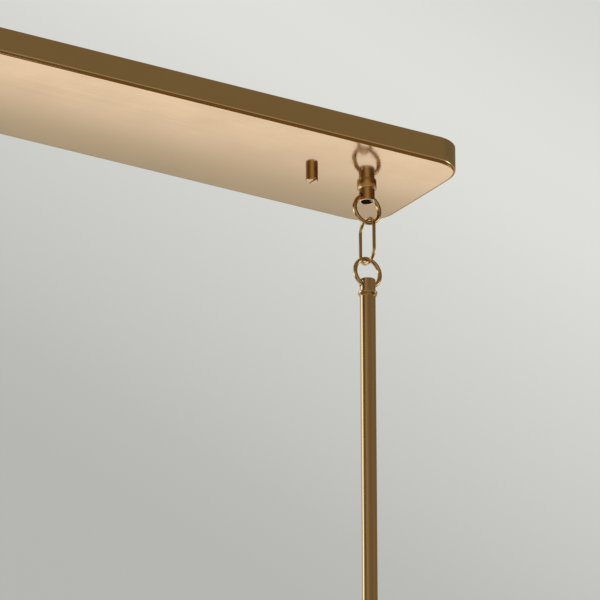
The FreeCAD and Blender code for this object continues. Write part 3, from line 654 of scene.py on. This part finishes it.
def make_nipples():
    """The three sets of hollow threaded nipples, with chamfered ends."""
    hub_low, hub_high, _ = heights("hub_nipples")
    segments = 48
    edge = 0.3
    for name, body, places, low, high in (
        ("hang_nipple", "canopy", SIDES, UNDERSIDE - 4.8, UNDERSIDE + 8.2),
        ("cap_nipple", "hung_frame", SIDES, STEM_TOP - 8.0, STEM_TOP + 4.8),
        ("hub_nipple", "hung_frame", LIGHTS, hub_low, hub_high),
    ):
        form = Form()
        for _, side in places:
            x = HANGER_X * side
            rows = threaded_rows(NIPPLE_THREAD, low, high, segments, x)
            for h, flare in ((high, edge), (high - edge, 0.0), (low + edge, 0.0), (low, edge)):
                rows.append(circle(NIPPLE_BORE + flare, h, segments, x))
            form.loops(rows, closed_rows=True)
        form.finish(f"{name}_threads", "zinc", body, "zinc_steel", [f"{name}s"], 60.0)


def make_studs():
    """Threaded studs with chamfered ends, and their jam nuts."""
    low, high, _ = heights("canopy_studs")
    nut_low, _, nut_height = heights("stud_nuts")
    studs, nuts = Form(), Form()
    for _, side in SIDES:
        studs.loops(threaded_rows(STUD_THREAD, low, high, 32, KNOB_X * side), capped=True)
        hex_nut(nuts, KNOB_X * side, nut_low, 7.0, 4.1, nut_height)
    studs.finish("stud_threads", "zinc", "canopy", "zinc_steel", ["canopy_studs"], 60.0)
    nuts.finish("stud_jam_nuts", "zinc", "canopy", "zinc_steel", ["stud_nuts"], 30.0)


def make_hanger_fixings():
    """The nuts and toothed lock washers inside the canopy."""
    nut_low, _, nut_height = heights("nipple_nuts")
    low, _, height = heights("lock_washers")
    bore, root, tip = 4.05, 5.9, 7.5
    teeth, steps, tooth_steps = 14, 8, 5
    nuts, washers = Form(), Form()
    for _, side in SIDES:
        hex_nut(nuts, HANGER_X * side, nut_low, 13.0, 8.1, nut_height)
        rows = []
        for level, outer in ((0.25, True), (0.75, True), (0.75, False), (0.25, False)):
            row = []
            for j in range(teeth * steps):
                angle = FULL_TURN * j / (teeth * steps)
                tooth = outer and j % steps < tooth_steps
                twist = (j % steps / 4.0 - 0.5) / 4 if tooth else 0.0
                reach = (tip if tooth else root) if outer else bore
                z = low + height * (level + twist)
                row.append((HANGER_X * side + reach * math.cos(angle), reach * math.sin(angle), z))
            rows.append(row)
        washers.loops(rows, closed_rows=True)
    nuts.finish("nipple_hex_nuts", "zinc", "canopy", "zinc_steel", ["nipple_nuts"], 30.0)
    washers.finish("toothed_washers", "zinc", "canopy", "zinc_steel", ["lock_washers"], 30.0)


def make_ground_screw():
    """The green ground screw: slotted hexagon head with a flange, and a thread."""
    low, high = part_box("ground_screw")
    x = (low.x + high.x) / 2 / MM
    foot, top = low.z / MM, high.z / MM
    flats, segments, under_head = 6.4, 72, 3.0
    slot_reach, slot_half, slot_depth = 2.75, 0.6, 1.1
    rows = []
    for depth, share in ((slot_depth, 0.5), (slot_depth, 1.0), (0.0, 1.0)):
        slot = circle(slot_reach, foot + depth, segments)
        rows.append([(x + px * share, max(-slot_half, min(slot_half, py)) * share, z) for px, py, z in slot])
    for h in (0.0, 0.3, 0.6, 2.0):
        rows.append(circle(lambda angle: chamfered(flats, 0.5, h, angle), foot + h, segments, x))
    for h, flange in ((2.0, 3.9), (2.35, 4.0), (under_head, 4.0)):
        rows.append(circle(flange, foot + h, segments, x))
    rows += threaded_rows(GROUND_THREAD, under_head, top - foot, segments, x, foot, both_ends=False)
    form = Form()
    form.loops(rows, capped=True)
    form.finish("ground_screw_head", "green", "canopy", "green_paint", ["ground_screw"], 35.0)


def make_set_screws():
    """Socket set screws at the back of the hubs."""
    low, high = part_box("hub_set_screws")
    start, end = low.y / MM, high.y / MM
    length = end - start
    key, key_depth, segments = 1.5, 2.0, 48
    form = Form()
    for _, side in LIGHTS:
        first = len(form.points)
        rows = threaded_rows(SET_SCREW_THREAD, 0.0, length, segments)
        for depth in (0.0, key_depth):
            rows.append(circle(lambda angle: hexagon(key, angle), length - depth, segments))
        form.loops(rows, capped=True)
        # laid along Y, with the socket to the back
        laid = [(HANGER_X * side + px, start + pz, RAIL_Z - py) for px, py, pz in form.points[first:]]
        form.points[first:] = laid
    form.finish("socket_set_screws", "zinc", "hung_frame", "zinc_steel", ["hub_set_screws"], 30.0)


# Hangers


def make_ring(name, x, z):
    """A round ring of drawn wire."""
    form = Form()
    path = [(px, 0.0, z + py) for px, py, _ in circle(RING_RADIUS, 0.0, 144, x)]
    form.tube(path, RING_WIRE / 2, 40, closed=True)
    form.finish(f"{name}_wire", "wire", name, "satin_brass", [name])


def make_link(name, x):
    """A long oval link of drawn wire, square to the rings."""
    low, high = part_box(name)
    middle = (low.z + high.z) / 2 / MM
    half = (high.z - low.z) / 2 / MM - SOLID_LINK_WIRE / 2 - LINK_BEND
    bend_steps, side_steps = 48, 12
    path = []
    for centre, start in ((half, 0.0), (-half, 180.0)):
        path += [(x, y, z) for y, z in arc(0.0, middle + centre, LINK_BEND, start, start + 180.0, bend_steps)]
        end = LINK_BEND * math.cos(math.radians(start + 180.0))
        for i in range(1, side_steps):
            path.append((x, end, middle + centre - 2.0 * centre * i / side_steps))
    form = Form()
    form.tube(path, LINK_WIRE / 2, 36, closed=True)
    form.finish(f"{name}_wire", "wire", name, "satin_brass", [name])


# the outline of each cap's foot, from its seat up to the collar's wall, as radius and height
STEM_CAP_FOOT = (
    (5.41, 0.0), (5.55, 0.14), (5.55, 0.37), (5.58, 0.42),
    (6.67, 2.31), (6.7, 2.36), (6.78, 2.52), (6.8, 2.7),
)
HANG_CAP_FOOT = ((6.72, 0.0), (6.8, 0.08))


def make_cap(name, body, x, seat, up, foot, collar_top):
    """A cross-drilled cap, collared near its seat, open at its free end: above for up = 1, below for -1."""
    radius, bore, top, thread_top = CAP_RADIUS, CAP_BORE, CAP_HEIGHT, 5.0
    profile = [(CAP_TAPPED, 0.0), *foot, (6.8, collar_top - 0.54), (6.77, collar_top - 0.42)]
    profile += [(6.68, collar_top - 0.34), (radius, collar_top)]
    profile += [(radius, h) for h in (7.0, CROSS_HOLE_HEIGHT, top - 0.4, top - 0.3)]
    profile += [(radius - 0.09, top - 0.09), (radius - 0.3, top), (bore + 0.3, top)]
    profile += [(bore + 0.09, top - 0.09), (bore, top - 0.3), (bore, top - 0.4)]
    profile += [(bore, thread_top), (CAP_TAPPED, thread_top)]
    if up < 0:
        profile = [(r, -h) for r, h in reversed(profile)]
    form = Form()
    form.turned(profile, x, 0.0, seat)
    thing = form.finish(f"{name}_turned", "cap", body, "satin_brass", [name], 40.0)
    hole = rod(CROSS_HOLE, 8.0, segments=64)
    place = Matrix.Translation((x, 0.0, seat + CROSS_HOLE_HEIGHT * up))
    hole.turn_about(place @ Matrix.Rotation(math.pi / 2, 4, "Y"))
    cut_away(thing, hole)


# Lights


def make_shade(label, x):
    """The blown glass cylinder, with a fire-polished lip and a round shoulder."""
    outside, wall, top, bend, hole, edge = 76.2, 3.2, 140.0, 16.0, 20.0, 0.8
    inside = outside - wall
    lip = wall / 2
    straight = (10.0, 30.0, 60.0, 90.0, 110.0)
    profile = arc(outside - lip, lip, lip, 180.0, 360.0, 12)
    profile += [(outside, h) for h in straight]
    profile += arc(outside - bend, top - bend, bend, 0.0, 90.0, 20)
    profile += [(r, top) for r in (50.0, 40.0, 30.0, 26.0)]
    profile += arc(hole + edge, top - edge, edge, 90.0, 180.0, 4)
    profile += arc(hole + edge, top - wall + edge, edge, 180.0, 270.0, 4)
    profile += [(r, top - wall) for r in (30.0, 40.0, 50.0)]
    profile += arc(outside - bend, top - bend, bend - wall, 90.0, 0.0, 16)
    profile += [(inside, h) for h in reversed(straight)]
    form = Form()
    form.turned(profile, x, 0.0, SHADE_Z, 192)
    form.finish(f"shade_blown_{label}", "glass", "hung_frame", "clear_glass", [f"shade_{label}"], 50.0)


def drawn_in(wide, narrow, low, high):
    """A smooth step between two radii of a profile, without its ends."""
    points = []
    for step in range(1, 12):
        t = step / 12
        ease = t * t * (3.0 - 2.0 * t)
        points.append((wide + (narrow - wide) * ease, low + (high - low) * t))
    return points


def make_bulb(label, x):
    """A tubular filament bulb: glass, screw base, mast, wires and filaments."""
    outside, wall, neck, top, collar = 16.0, 1.0, 12.5, 84.0, 3.0
    inside, bore = outside - wall, neck - wall
    waist, shoulder = top - outside, top - collar
    straight = (26.0, 40.0, 54.0)
    profile = [(0.0, 0.0)]
    profile += arc(0.0, outside, outside, -88.0, 0.0, 28)
    profile += [(outside, h) for h in (*straight, 64.0)]
    profile += drawn_in(outside, neck, waist, shoulder)
    profile += [(neck, shoulder), (neck, top - 0.1), (neck - 0.3, top), (bore, top), (bore, shoulder)]
    profile += reversed(drawn_in(inside, bore, waist, shoulder))
    profile += [(inside, h) for h in (waist, *reversed(straight))]
    profile += arc(0.0, outside, inside, 0.0, -88.0, 28)
    profile += [(0.0, wall)]
    form = Form()
    form.turned(profile, x, 0.0, BULB_Z)
    form.finish(f"bulb_envelope_{label}", "bulb", "hung_frame", "bulb_glass", [f"bulb_glass_{label}"], 60.0)
    make_base(label, x)
    make_filaments(label, x)


def make_base(label, x):
    """The screw base: rolled thread, glass insulator and soldered contact."""
    outside, straight, thread_low = 13.0, 19.5, 2.6
    cut = thread(0.95, BULB_PITCH, thread_low, straight - 0.4)

    def reach(angle, h):
        if h < 0.3:
            return outside - 0.3
        if h <= 2.0:
            return outside - 0.15 * (h - 0.3)
        if h > straight - 0.3:
            return outside - 0.4 - (h - straight + 0.3) * 1.15
        return cut(outside, angle, h)

    steps = [0.0, 0.3, 1.2, 2.0, *levels(thread_low, straight - 0.6, BULB_PITCH / 14)]
    steps += [straight - 0.2, straight, 20.6, 21.8]
    form = Form()
    form.loops([circle(lambda angle: reach(angle, h), BASE_Z + h, 96, x) for h in steps], capped=True)
    form.finish(f"base_thread_{label}", "nickel", "hung_frame", "nickel_base", [f"bulb_base_{label}"], 50.0)
    form = Form()
    profile = [(0.0, 21.8), (10.0, 21.8), (9.3, 23.0), (8.4, 23.5), (6.2, 24.0), (4.4, 24.3), (0.0, 24.3)]
    form.turned(profile, x, 0.0, BASE_Z, 64)
    form.finish(f"base_insulator_{label}", "black", "hung_frame", "black_moulding", (), 50.0)

    def soldered(r, angle, h):
        return r * (1.0 + 0.03 * math.sin(3.0 * angle + 1.0)) if r > 1.0 else r

    form = Form()
    profile = [(0.0, 24.2), (4.2, 24.2), (4.2, 24.7), (3.8, 25.2)]
    profile += [(2.9, 25.6), (1.6, 25.9), (0.5, 26.0), (0.0, 26.0)]
    form.turned(profile, x, 0.0, BASE_Z, 48, soldered)
    form.finish(f"base_contact_{label}", "solder", "hung_frame", "nickel_base", (), 50.0)


def make_filaments(label, x):
    """Four coated filaments, clipped to wire spiders round a glass mast."""
    foot = BULB_Z + 16.0
    high, spread, length = 44.0, 6.5, 39.0
    coat, end = 0.9, 0.35
    clip, hub, sleeve, wire, lead = 2.9, 1.0, 1.4, 0.3, 0.22
    rods, wires, mast = Form(), Form(), Form()
    rod_profile = [(0.0, 0.0), (0.6, 0.0), (coat, end)]
    rod_profile += [(coat, end + (length - 2 * end) * k / 8) for k in range(1, 8)]
    rod_profile += [(coat, length - end), (0.6, length), (0.0, length)]
    for step in range(4):
        angle = math.radians(90.0 * step + 45.0)
        cx, cy = x + spread * math.cos(angle), spread * math.sin(angle)
        rods.turned(rod_profile, cx, cy, foot + 2.5, 20)
        for base, sign in ((foot, 1.0), (foot + high, -1.0)):
            start = base if sign > 0 else base - clip
            wires.turned([(0.0, 0.0), (0.35, 0.0), (0.35, clip), (0.0, clip)], cx, cy, start, 10)
            path = []
            for k in range(9):
                t = k / 8
                reach = hub + (spread - hub) * t
                z = base + (0.45 + 0.35 * math.sin(math.pi * t)) * sign
                path.append((x + reach * math.cos(angle), reach * math.sin(angle), z))
            wires.tube(path, wire, 10)
    for low in (0.0, high - sleeve):
        wires.turned([(1.02, low), (1.5, low), (1.5, low + sleeve), (1.02, low + sleeve)], x, 0.0, foot, 32)
    for turn in (0.0, math.pi):
        path = []
        for k in range(13):
            t = k / 12
            reach = 1.25 + 1.25 * t * t
            path.append((x + reach * math.cos(turn), reach * math.sin(turn), foot + high + 22.0 * t))
        wires.tube(path, lead, 8)
    profile = [(0.0, 0.0), (0.7, 0.0), (1.0, 0.3)]
    profile += [(1.0, high * k / 6) for k in range(1, 7)]
    flare = ((1.15, 2.0), (1.6, 4.0), (1.9, 5.6), (2.3, 7.0), (3.2, 8.0), (3.9, 9.6))
    profile += [(r, high + h) for r, h in (*flare, (4.0, 12.0), (4.0, 24.0), (0.0, 24.0))]
    mast.turned(profile, x, 0.0, foot, 48)
    nodes = [f"bulb_filament_{label}"]
    rods.finish(f"filament_rods_{label}", "phosphor", "hung_frame", "filament", nodes, 50.0)
    wires.finish(f"filament_wires_{label}", "nickel", "hung_frame", "nickel_base", (), 50.0)
    mast.finish(f"glass_mast_{label}", "bulb", "hung_frame", "bulb_glass", (), 50.0)


def make_holder(label, x):
    """The moulded lampholder: ribbed body, threaded nose and closed top."""
    outside, bore, top, roof, wire_hole = 19.0, 14.2, 52.0, 46.0, 4.05
    nose, rib_top, ribs, pitch = 15.0, 48.0, 24, 2.4
    cut = thread(0.7, pitch, 0.4, 14.4)

    def ribbed(r, angle, h):
        if r < outside - 0.01:
            return r
        if h < nose:
            return cut(r, angle, h)
        wave = 0.5 + 0.5 * math.cos(ribs * angle)
        fade = min(1.0, (h - nose) / 2.0) * min(1.0, max(0.0, (rib_top - h) / 2.0))
        return r - 0.8 * fade * (1.0 - wave ** 0.35)

    profile = [(bore + 0.4, 0.0), (outside - 0.9, 0.0)]
    profile += [(outside, h) for h in levels(0.4, 14.6, pitch / 12)]
    profile += [(outside, h) for h in (nose, 16.0, 17.0, 30.0, 46.0, 47.0, rib_top, 51.2)]
    profile += [(outside - 0.8, top), (wire_hole, top), (wire_hole, roof), (bore, roof), (bore, 0.4)]
    form = Form()
    form.turned(profile, x, 0.0, HOLDER_Z, 192, ribbed)
    nodes = [f"lampholder_{label}"]
    form.finish(f"holder_body_{label}", "black", "hung_frame", "black_moulding", nodes, 40.0)


def make_shell(label, x):
    """The brass shell in the lampholder, rolled to the bulb's thread."""
    outside, wall, height, foot = 14.12, 0.35, 25.0, HOLDER_Z + 3.0
    roll = thread(0.42, BULB_PITCH, 1.2, height - 0.6)
    steps = levels(0.0, height, BULB_PITCH / 12)
    rows = []
    for inset, order in ((0.0, steps), (wall, steps[::-1])):
        for h in order:
            rows.append(circle(lambda angle: roll(outside, angle, h) - inset, foot + h, 96, x))
    form = Form()
    form.loops(rows, closed_rows=True)
    form.finish(f"rolled_shell_{label}", "shell", "hung_frame", "plain_brass", [f"screw_shell_{label}"], 50.0)


def make_shade_ring(label, x):
    """The knurled ring that clamps the glass."""
    foot, _, height = heights(f"shade_ring_{label}")
    outside, inside, knurls, edge, plain = 27.0, 19.05, 96, 0.5, 1.0

    def knurled(r, angle, h):
        near = min(h - plain, height - plain - h)
        if r < outside - 0.01 or near <= 0.0:
            return r
        wave = abs(math.sin(knurls * angle / 2.0))
        return r - 0.35 * (1.0 - wave) * min(1.0, near / 0.4)

    profile = [(inside, edge), (inside + edge, 0.0), (outside - edge, 0.0)]
    profile += [(outside, h) for h in (edge, 0.99, 1.2, 1.4, height / 2)]
    profile += [(outside, height - h) for h in (1.4, 1.2, 0.99, edge)]
    profile += [(outside - edge, height), (inside + edge, height), (inside, height - edge)]
    form = Form()
    form.turned(profile, x, 0.0, foot, knurls * 6, knurled)
    form.finish(f"knurled_ring_{label}", "turned", "hung_frame", "satin_brass", [f"shade_ring_{label}"], 30.0)


def make_pieces():
    """Every detailed piece that stands for a solid."""
    make_canopy()
    make_nipples()
    make_studs()
    make_hanger_fixings()
    make_ground_screw()
    make_set_screws()
    for side, sign in SIDES:
        x = HANGER_X * sign
        make_ring(f"upper_ring_{side}", x, UPPER_RING_Z)
        make_link(f"link_{side}", x)
        make_ring(f"lower_ring_{side}", x, LOWER_RING_Z)
        make_cap(f"stem_cap_{side}", "hung_frame", x, STEM_TOP, 1, STEM_CAP_FOOT, 4.04)
        make_cap(f"hang_cap_{side}", "canopy", x, UNDERSIDE, -1, HANG_CAP_FOOT, 3.74)
    for label, sign in LIGHTS:
        x = HANGER_X * sign
        make_shade(label, x)
        make_bulb(label, x)
        make_holder(label, x)
        make_shell(label, x)
        make_shade_ring(label, x)


# Camera

VIEW_TURN = math.radians(32.4)
VIEW_RISE = math.radians(22.6)
VIEW_ROLL = math.radians(-0.25)
LENS = 702.0
SENSOR = 36.0
PIXEL = 0.6934e-3
DISTANCE = 8.113
# where the right hanger's seat lies from the picture's middle, in pixels right and up
SEAT_RIGHT, SEAT_UP = 66.8, 115.4

right = Vector((math.cos(VIEW_TURN), -math.sin(VIEW_TURN), 0.0))
forward = Vector((
    math.sin(VIEW_TURN) * math.cos(VIEW_RISE),
    math.cos(VIEW_TURN) * math.cos(VIEW_RISE),
    math.sin(VIEW_RISE),
))
up = right.cross(forward)
frame_right = right * math.cos(VIEW_ROLL) + up * math.sin(VIEW_ROLL)
frame_up = up * math.cos(VIEW_ROLL) - right * math.sin(VIEW_ROLL)


def make_camera():
    """The photograph's view: nearly parallel, from the front left and below."""
    data = bpy.data.cameras.new("camera")
    data.lens = LENS
    data.sensor_width = SENSOR
    data.clip_start = 0.5
    data.clip_end = 200.0
    camera = new_object("camera", data)
    seat = Vector((HANGER_X * MM, 0.0, UNDERSIDE * MM))
    aim = seat - frame_right * SEAT_RIGHT * PIXEL - frame_up * SEAT_UP * PIXEL
    camera.location = aim - forward * DISTANCE
    camera.rotation_euler = Matrix((frame_right, frame_up, -forward)).transposed().to_euler()
    bpy.context.scene.camera = camera


# Surroundings

# the sweep that metal mirrors beyond the object, from near to far, by slope
SWEEP = (
    (0.00, (0.57, 0.54, 0.53)), (0.40, (1.05, 0.99, 0.96)), (0.84, (1.05, 0.995, 0.975)),
    (0.85, (0.44, 0.45, 0.42)), (0.90, (0.38, 0.38, 0.36)), (1.00, (0.46, 0.46, 0.43)),
)
DARK_FLOOR = (0.15, 0.095, 0.035)


def bell(graph, value, middle, width):
    """A smooth bump of height 1 about a middle."""
    off = graph.math("DIVIDE", graph.math("SUBTRACT", value, middle), width)
    return graph.math("POWER", math.e, graph.math("MULTIPLY", graph.math("MULTIPLY", off, off), -1.0))


def studio(graph, direction):
    """What metal and glass see in a direction: a pale sweep beyond the object, a warm dim room before it.

    The turn is the level angle from the way back to the eye, and z the sine of the rise.
    """
    level = (math.sin(VIEW_TURN), math.cos(VIEW_TURN))
    x, y, z = graph.split(graph.vector("NORMALIZE", direction))
    flat = graph.vector("NORMALIZE", graph.join(x, y, 0.0))
    ahead = graph.vector("DOT_PRODUCT", flat, (level[0], level[1], 0.0))
    across = graph.vector("DOT_PRODUCT", flat, (level[1], -level[0], 0.0))
    turn = graph.math("ARCTAN2", across, graph.math("MULTIPLY", ahead, -1.0))

    def light(strength, colour):
        return graph.vector("MULTIPLY", colour, graph.join(strength, strength, strength))

    def plus(first, second):
        return graph.math("ADD", first, second)

    def times(first, second):
        return graph.math("MULTIPLY", first, second)

    def rise(value, low, high):
        return graph.span(value, low, high, smooth=True)

    def fall(value, low, high, top=1.0):
        return graph.span(value, low, high, top, 0.0, smooth=True)

    # the sweep beyond the object: a bright floor up to a soft edge, then its dimmer rise
    slope = graph.math("SUBTRACT", z, times(across, 0.19))
    sweep = graph.ramp(graph.span(slope, -0.90, -0.30), SWEEP)
    shade = times(graph.span(across, -0.05, 0.10), fall(z, -0.60, -0.52))
    sweep = graph.mix(shade, sweep, DARK_FLOOR)
    beyond = times(rise(ahead, 0.25, 0.70), fall(z, -0.33, -0.25))
    beyond = times(beyond, fall(across, 0.26, 0.48))
    # the room above the horizon: lighter behind the eye and overhead, darkest beside the strip lamp
    upper = plus(0.172, times(bell(graph, turn, -0.45, 0.42), 0.135))
    upper = plus(upper, times(bell(graph, turn, 1.25, 0.35), 0.042))
    upper = graph.math("SUBTRACT", upper, times(bell(graph, turn, -1.05, 0.20), 0.12))
    upper = plus(upper, graph.span(z, 0.55, 0.95, 0.0, 0.42, smooth=True))
    # and below it: a dark floor with a lit patch behind the eye, paler at the sides and straight down
    patch = times(bell(graph, turn, 0.08, 0.62), bell(graph, z, -0.40, 0.16))
    lower = graph.mix(graph.span(z, -0.54, -0.45), DARK_FLOOR, (0.075, 0.036, 0.016))
    lower = graph.vector("ADD", lower, light(patch, (0.40, 0.39, 0.30)))
    wings = plus(bell(graph, turn, 2.42, 0.26), fall(turn, -1.45, -1.15))
    wings = times(wings, bell(graph, z, -0.56, 0.085))
    lower = graph.vector("ADD", lower, light(wings, (0.52, 0.46, 0.38)))
    left = times(fall(turn, -0.9, -0.3, 0.42), fall(z, -0.75, -0.55))
    under = graph.math("MAXIMUM", fall(z, -0.97, -0.89, 0.62), left)
    lower = graph.vector("ADD", lower, light(under, (1.0, 0.93, 0.82)))
    room = graph.mix(rise(z, -0.25, 0.10), lower, light(upper, (1.0, 0.81, 0.51)))
    horizon = times(rise(z, -0.37, -0.29), fall(z, 0.10, 0.27))
    room = graph.vector("ADD", room, light(times(horizon, 0.25), (1.0, 0.86, 0.60)))
    # lamps: an upright strip on the left, and a low window on either side
    strip = times(bell(graph, turn, -1.66, 0.24), bell(graph, z, 0.34, 0.42))
    low_left = times(times(bell(graph, turn, -1.70, 0.28), bell(graph, z, -0.04, 0.14)), 2.2)
    low_right = times(times(bell(graph, turn, 1.74, 0.15), bell(graph, z, 0.02, 0.13)), 2.3)
    lamps = plus(strip, plus(low_left, low_right))
    room = graph.vector("ADD", room, light(times(lamps, 1.6), (0.93, 1.0, 0.94)))
    side = times(fall(turn, -2.30, -1.95), rise(z, -0.20, 0.10))
    room = graph.mix(side, room, (0.60, 0.62, 0.58))
    return graph.mix(beyond, room, sweep)


# how fast the backdrop's ramp runs upward and to the right in the view, and half its length
BACKDROP_UP, BACKDROP_RIGHT, BACKDROP_HALF = 917.0, 544.0, 60.0
# the backdrop's grey along it, from the picture's lower left to its upper right
BACKDROP = (
    (0.00, 210.0), (0.17, 181.0), (0.20, 180.0), (0.30, 180.5), (0.36, 185.5),
    (0.42, 194.0), (0.50, 204.0), (0.58, 213.5), (0.64, 221.0), (0.69, 223.0),
    (0.73, 220.5), (0.79, 214.5), (0.92, 208.0),
)


def pale_grey(level):
    """A pale grey, a touch less blue, from its 8-bit level."""
    linear = (level / 255.0) ** 2.2
    return (linear, linear * 1.003, linear * 0.955)


def make_world():
    """A pale backdrop for the eye, the studio for reflections, and plain soft light for the rest."""
    world = bpy.data.worlds.new("studio")
    world.use_nodes = True
    bpy.context.scene.world = world
    graph = Graph(world.node_tree)
    direction = graph.add("ShaderNodeTexCoord").outputs["Generated"]
    rays = graph.add("ShaderNodeLightPath").outputs
    unit = graph.vector("NORMALIZE", direction)
    height = graph.vector("DOT_PRODUCT", unit, tuple(up))
    aside = graph.vector("DOT_PRODUCT", unit, tuple(right))
    height = graph.math("MULTIPLY", height, BACKDROP_UP)
    aside = graph.math("MULTIPLY", aside, BACKDROP_RIGHT)
    place = graph.span(graph.math("ADD", height, aside), -BACKDROP_HALF, BACKDROP_HALF)
    backdrop = graph.ramp(place, [(level, pale_grey(grey)) for level, grey in BACKDROP])
    shown = graph.math("MAXIMUM", rays["Is Camera Ray"], rays["Is Transmission Ray"])
    colour = graph.mix(shown, studio(graph, direction), backdrop)
    colour = graph.mix(rays["Is Diffuse Ray"], colour, (0.80, 0.80, 0.80))
    background = graph.add("ShaderNodeBackground")
    graph.put(background.inputs["Color"], colour)
    graph.end("ShaderNodeOutputWorld", background)


FLOOR_Z = -3.5
FLOOR_RADIUS = 40.0


def make_floor():
    """A plain pale floor far below, clear from underneath and in mirrored rays, which the studio serves."""
    material, graph, place = new_graph("floor_pale")
    clouds = graph.noise(place, 0.6, 2.0, 0.5)
    plain = graph.add("ShaderNodeBsdfDiffuse")
    graph.put(plain.inputs["Color"], graph.mix(clouds, (0.70, 0.70, 0.69), (0.74, 0.74, 0.73)))
    rays = graph.add("ShaderNodeLightPath").outputs
    straight = graph.math("SUBTRACT", 1.0, rays["Is Transmission Ray"])
    mirrored = graph.math("MULTIPLY", rays["Is Glossy Ray"], straight)
    clear = graph.add("ShaderNodeBsdfTransparent")
    both = graph.add("ShaderNodeMixShader")
    behind = graph.add("ShaderNodeNewGeometry").outputs["Backfacing"]
    graph.fill(both, (graph.math("MAXIMUM", mirrored, behind), plain.outputs[0], clear.outputs[0]))
    graph.end("ShaderNodeOutputMaterial", both)
    mesh = plain_mesh("floor", circle(FLOOR_RADIUS / MM, 0.0, 96), [tuple(range(96))])
    mesh.materials.append(material)
    floor = new_object("floor", mesh)
    floor.location = (0.0, 0.0, FLOOR_Z)


def make_lamps():
    """One large soft lamp from the front left."""
    data = bpy.data.lights.new("soft_lamp", "AREA")
    data.shape = "DISK"
    data.size = 2.5
    data.energy = 110.0
    data.color = (1.0, 0.97, 0.92)
    data.specular_factor = 0.0
    lamp = new_object("soft_lamp", data)
    lamp.location = (-2.6, -3.0, 2.6)
    aim = Vector((0.0, 0.0, -0.35)) - lamp.location
    lamp.rotation_euler = aim.to_track_quat("-Z", "Y").to_euler()
    lamp.visible_glossy = False


make_camera()
dress_nodes()
make_pieces()
make_world()
make_floor()
make_lamps()
bpy.context.scene.view_settings.view_transform = "Standard"
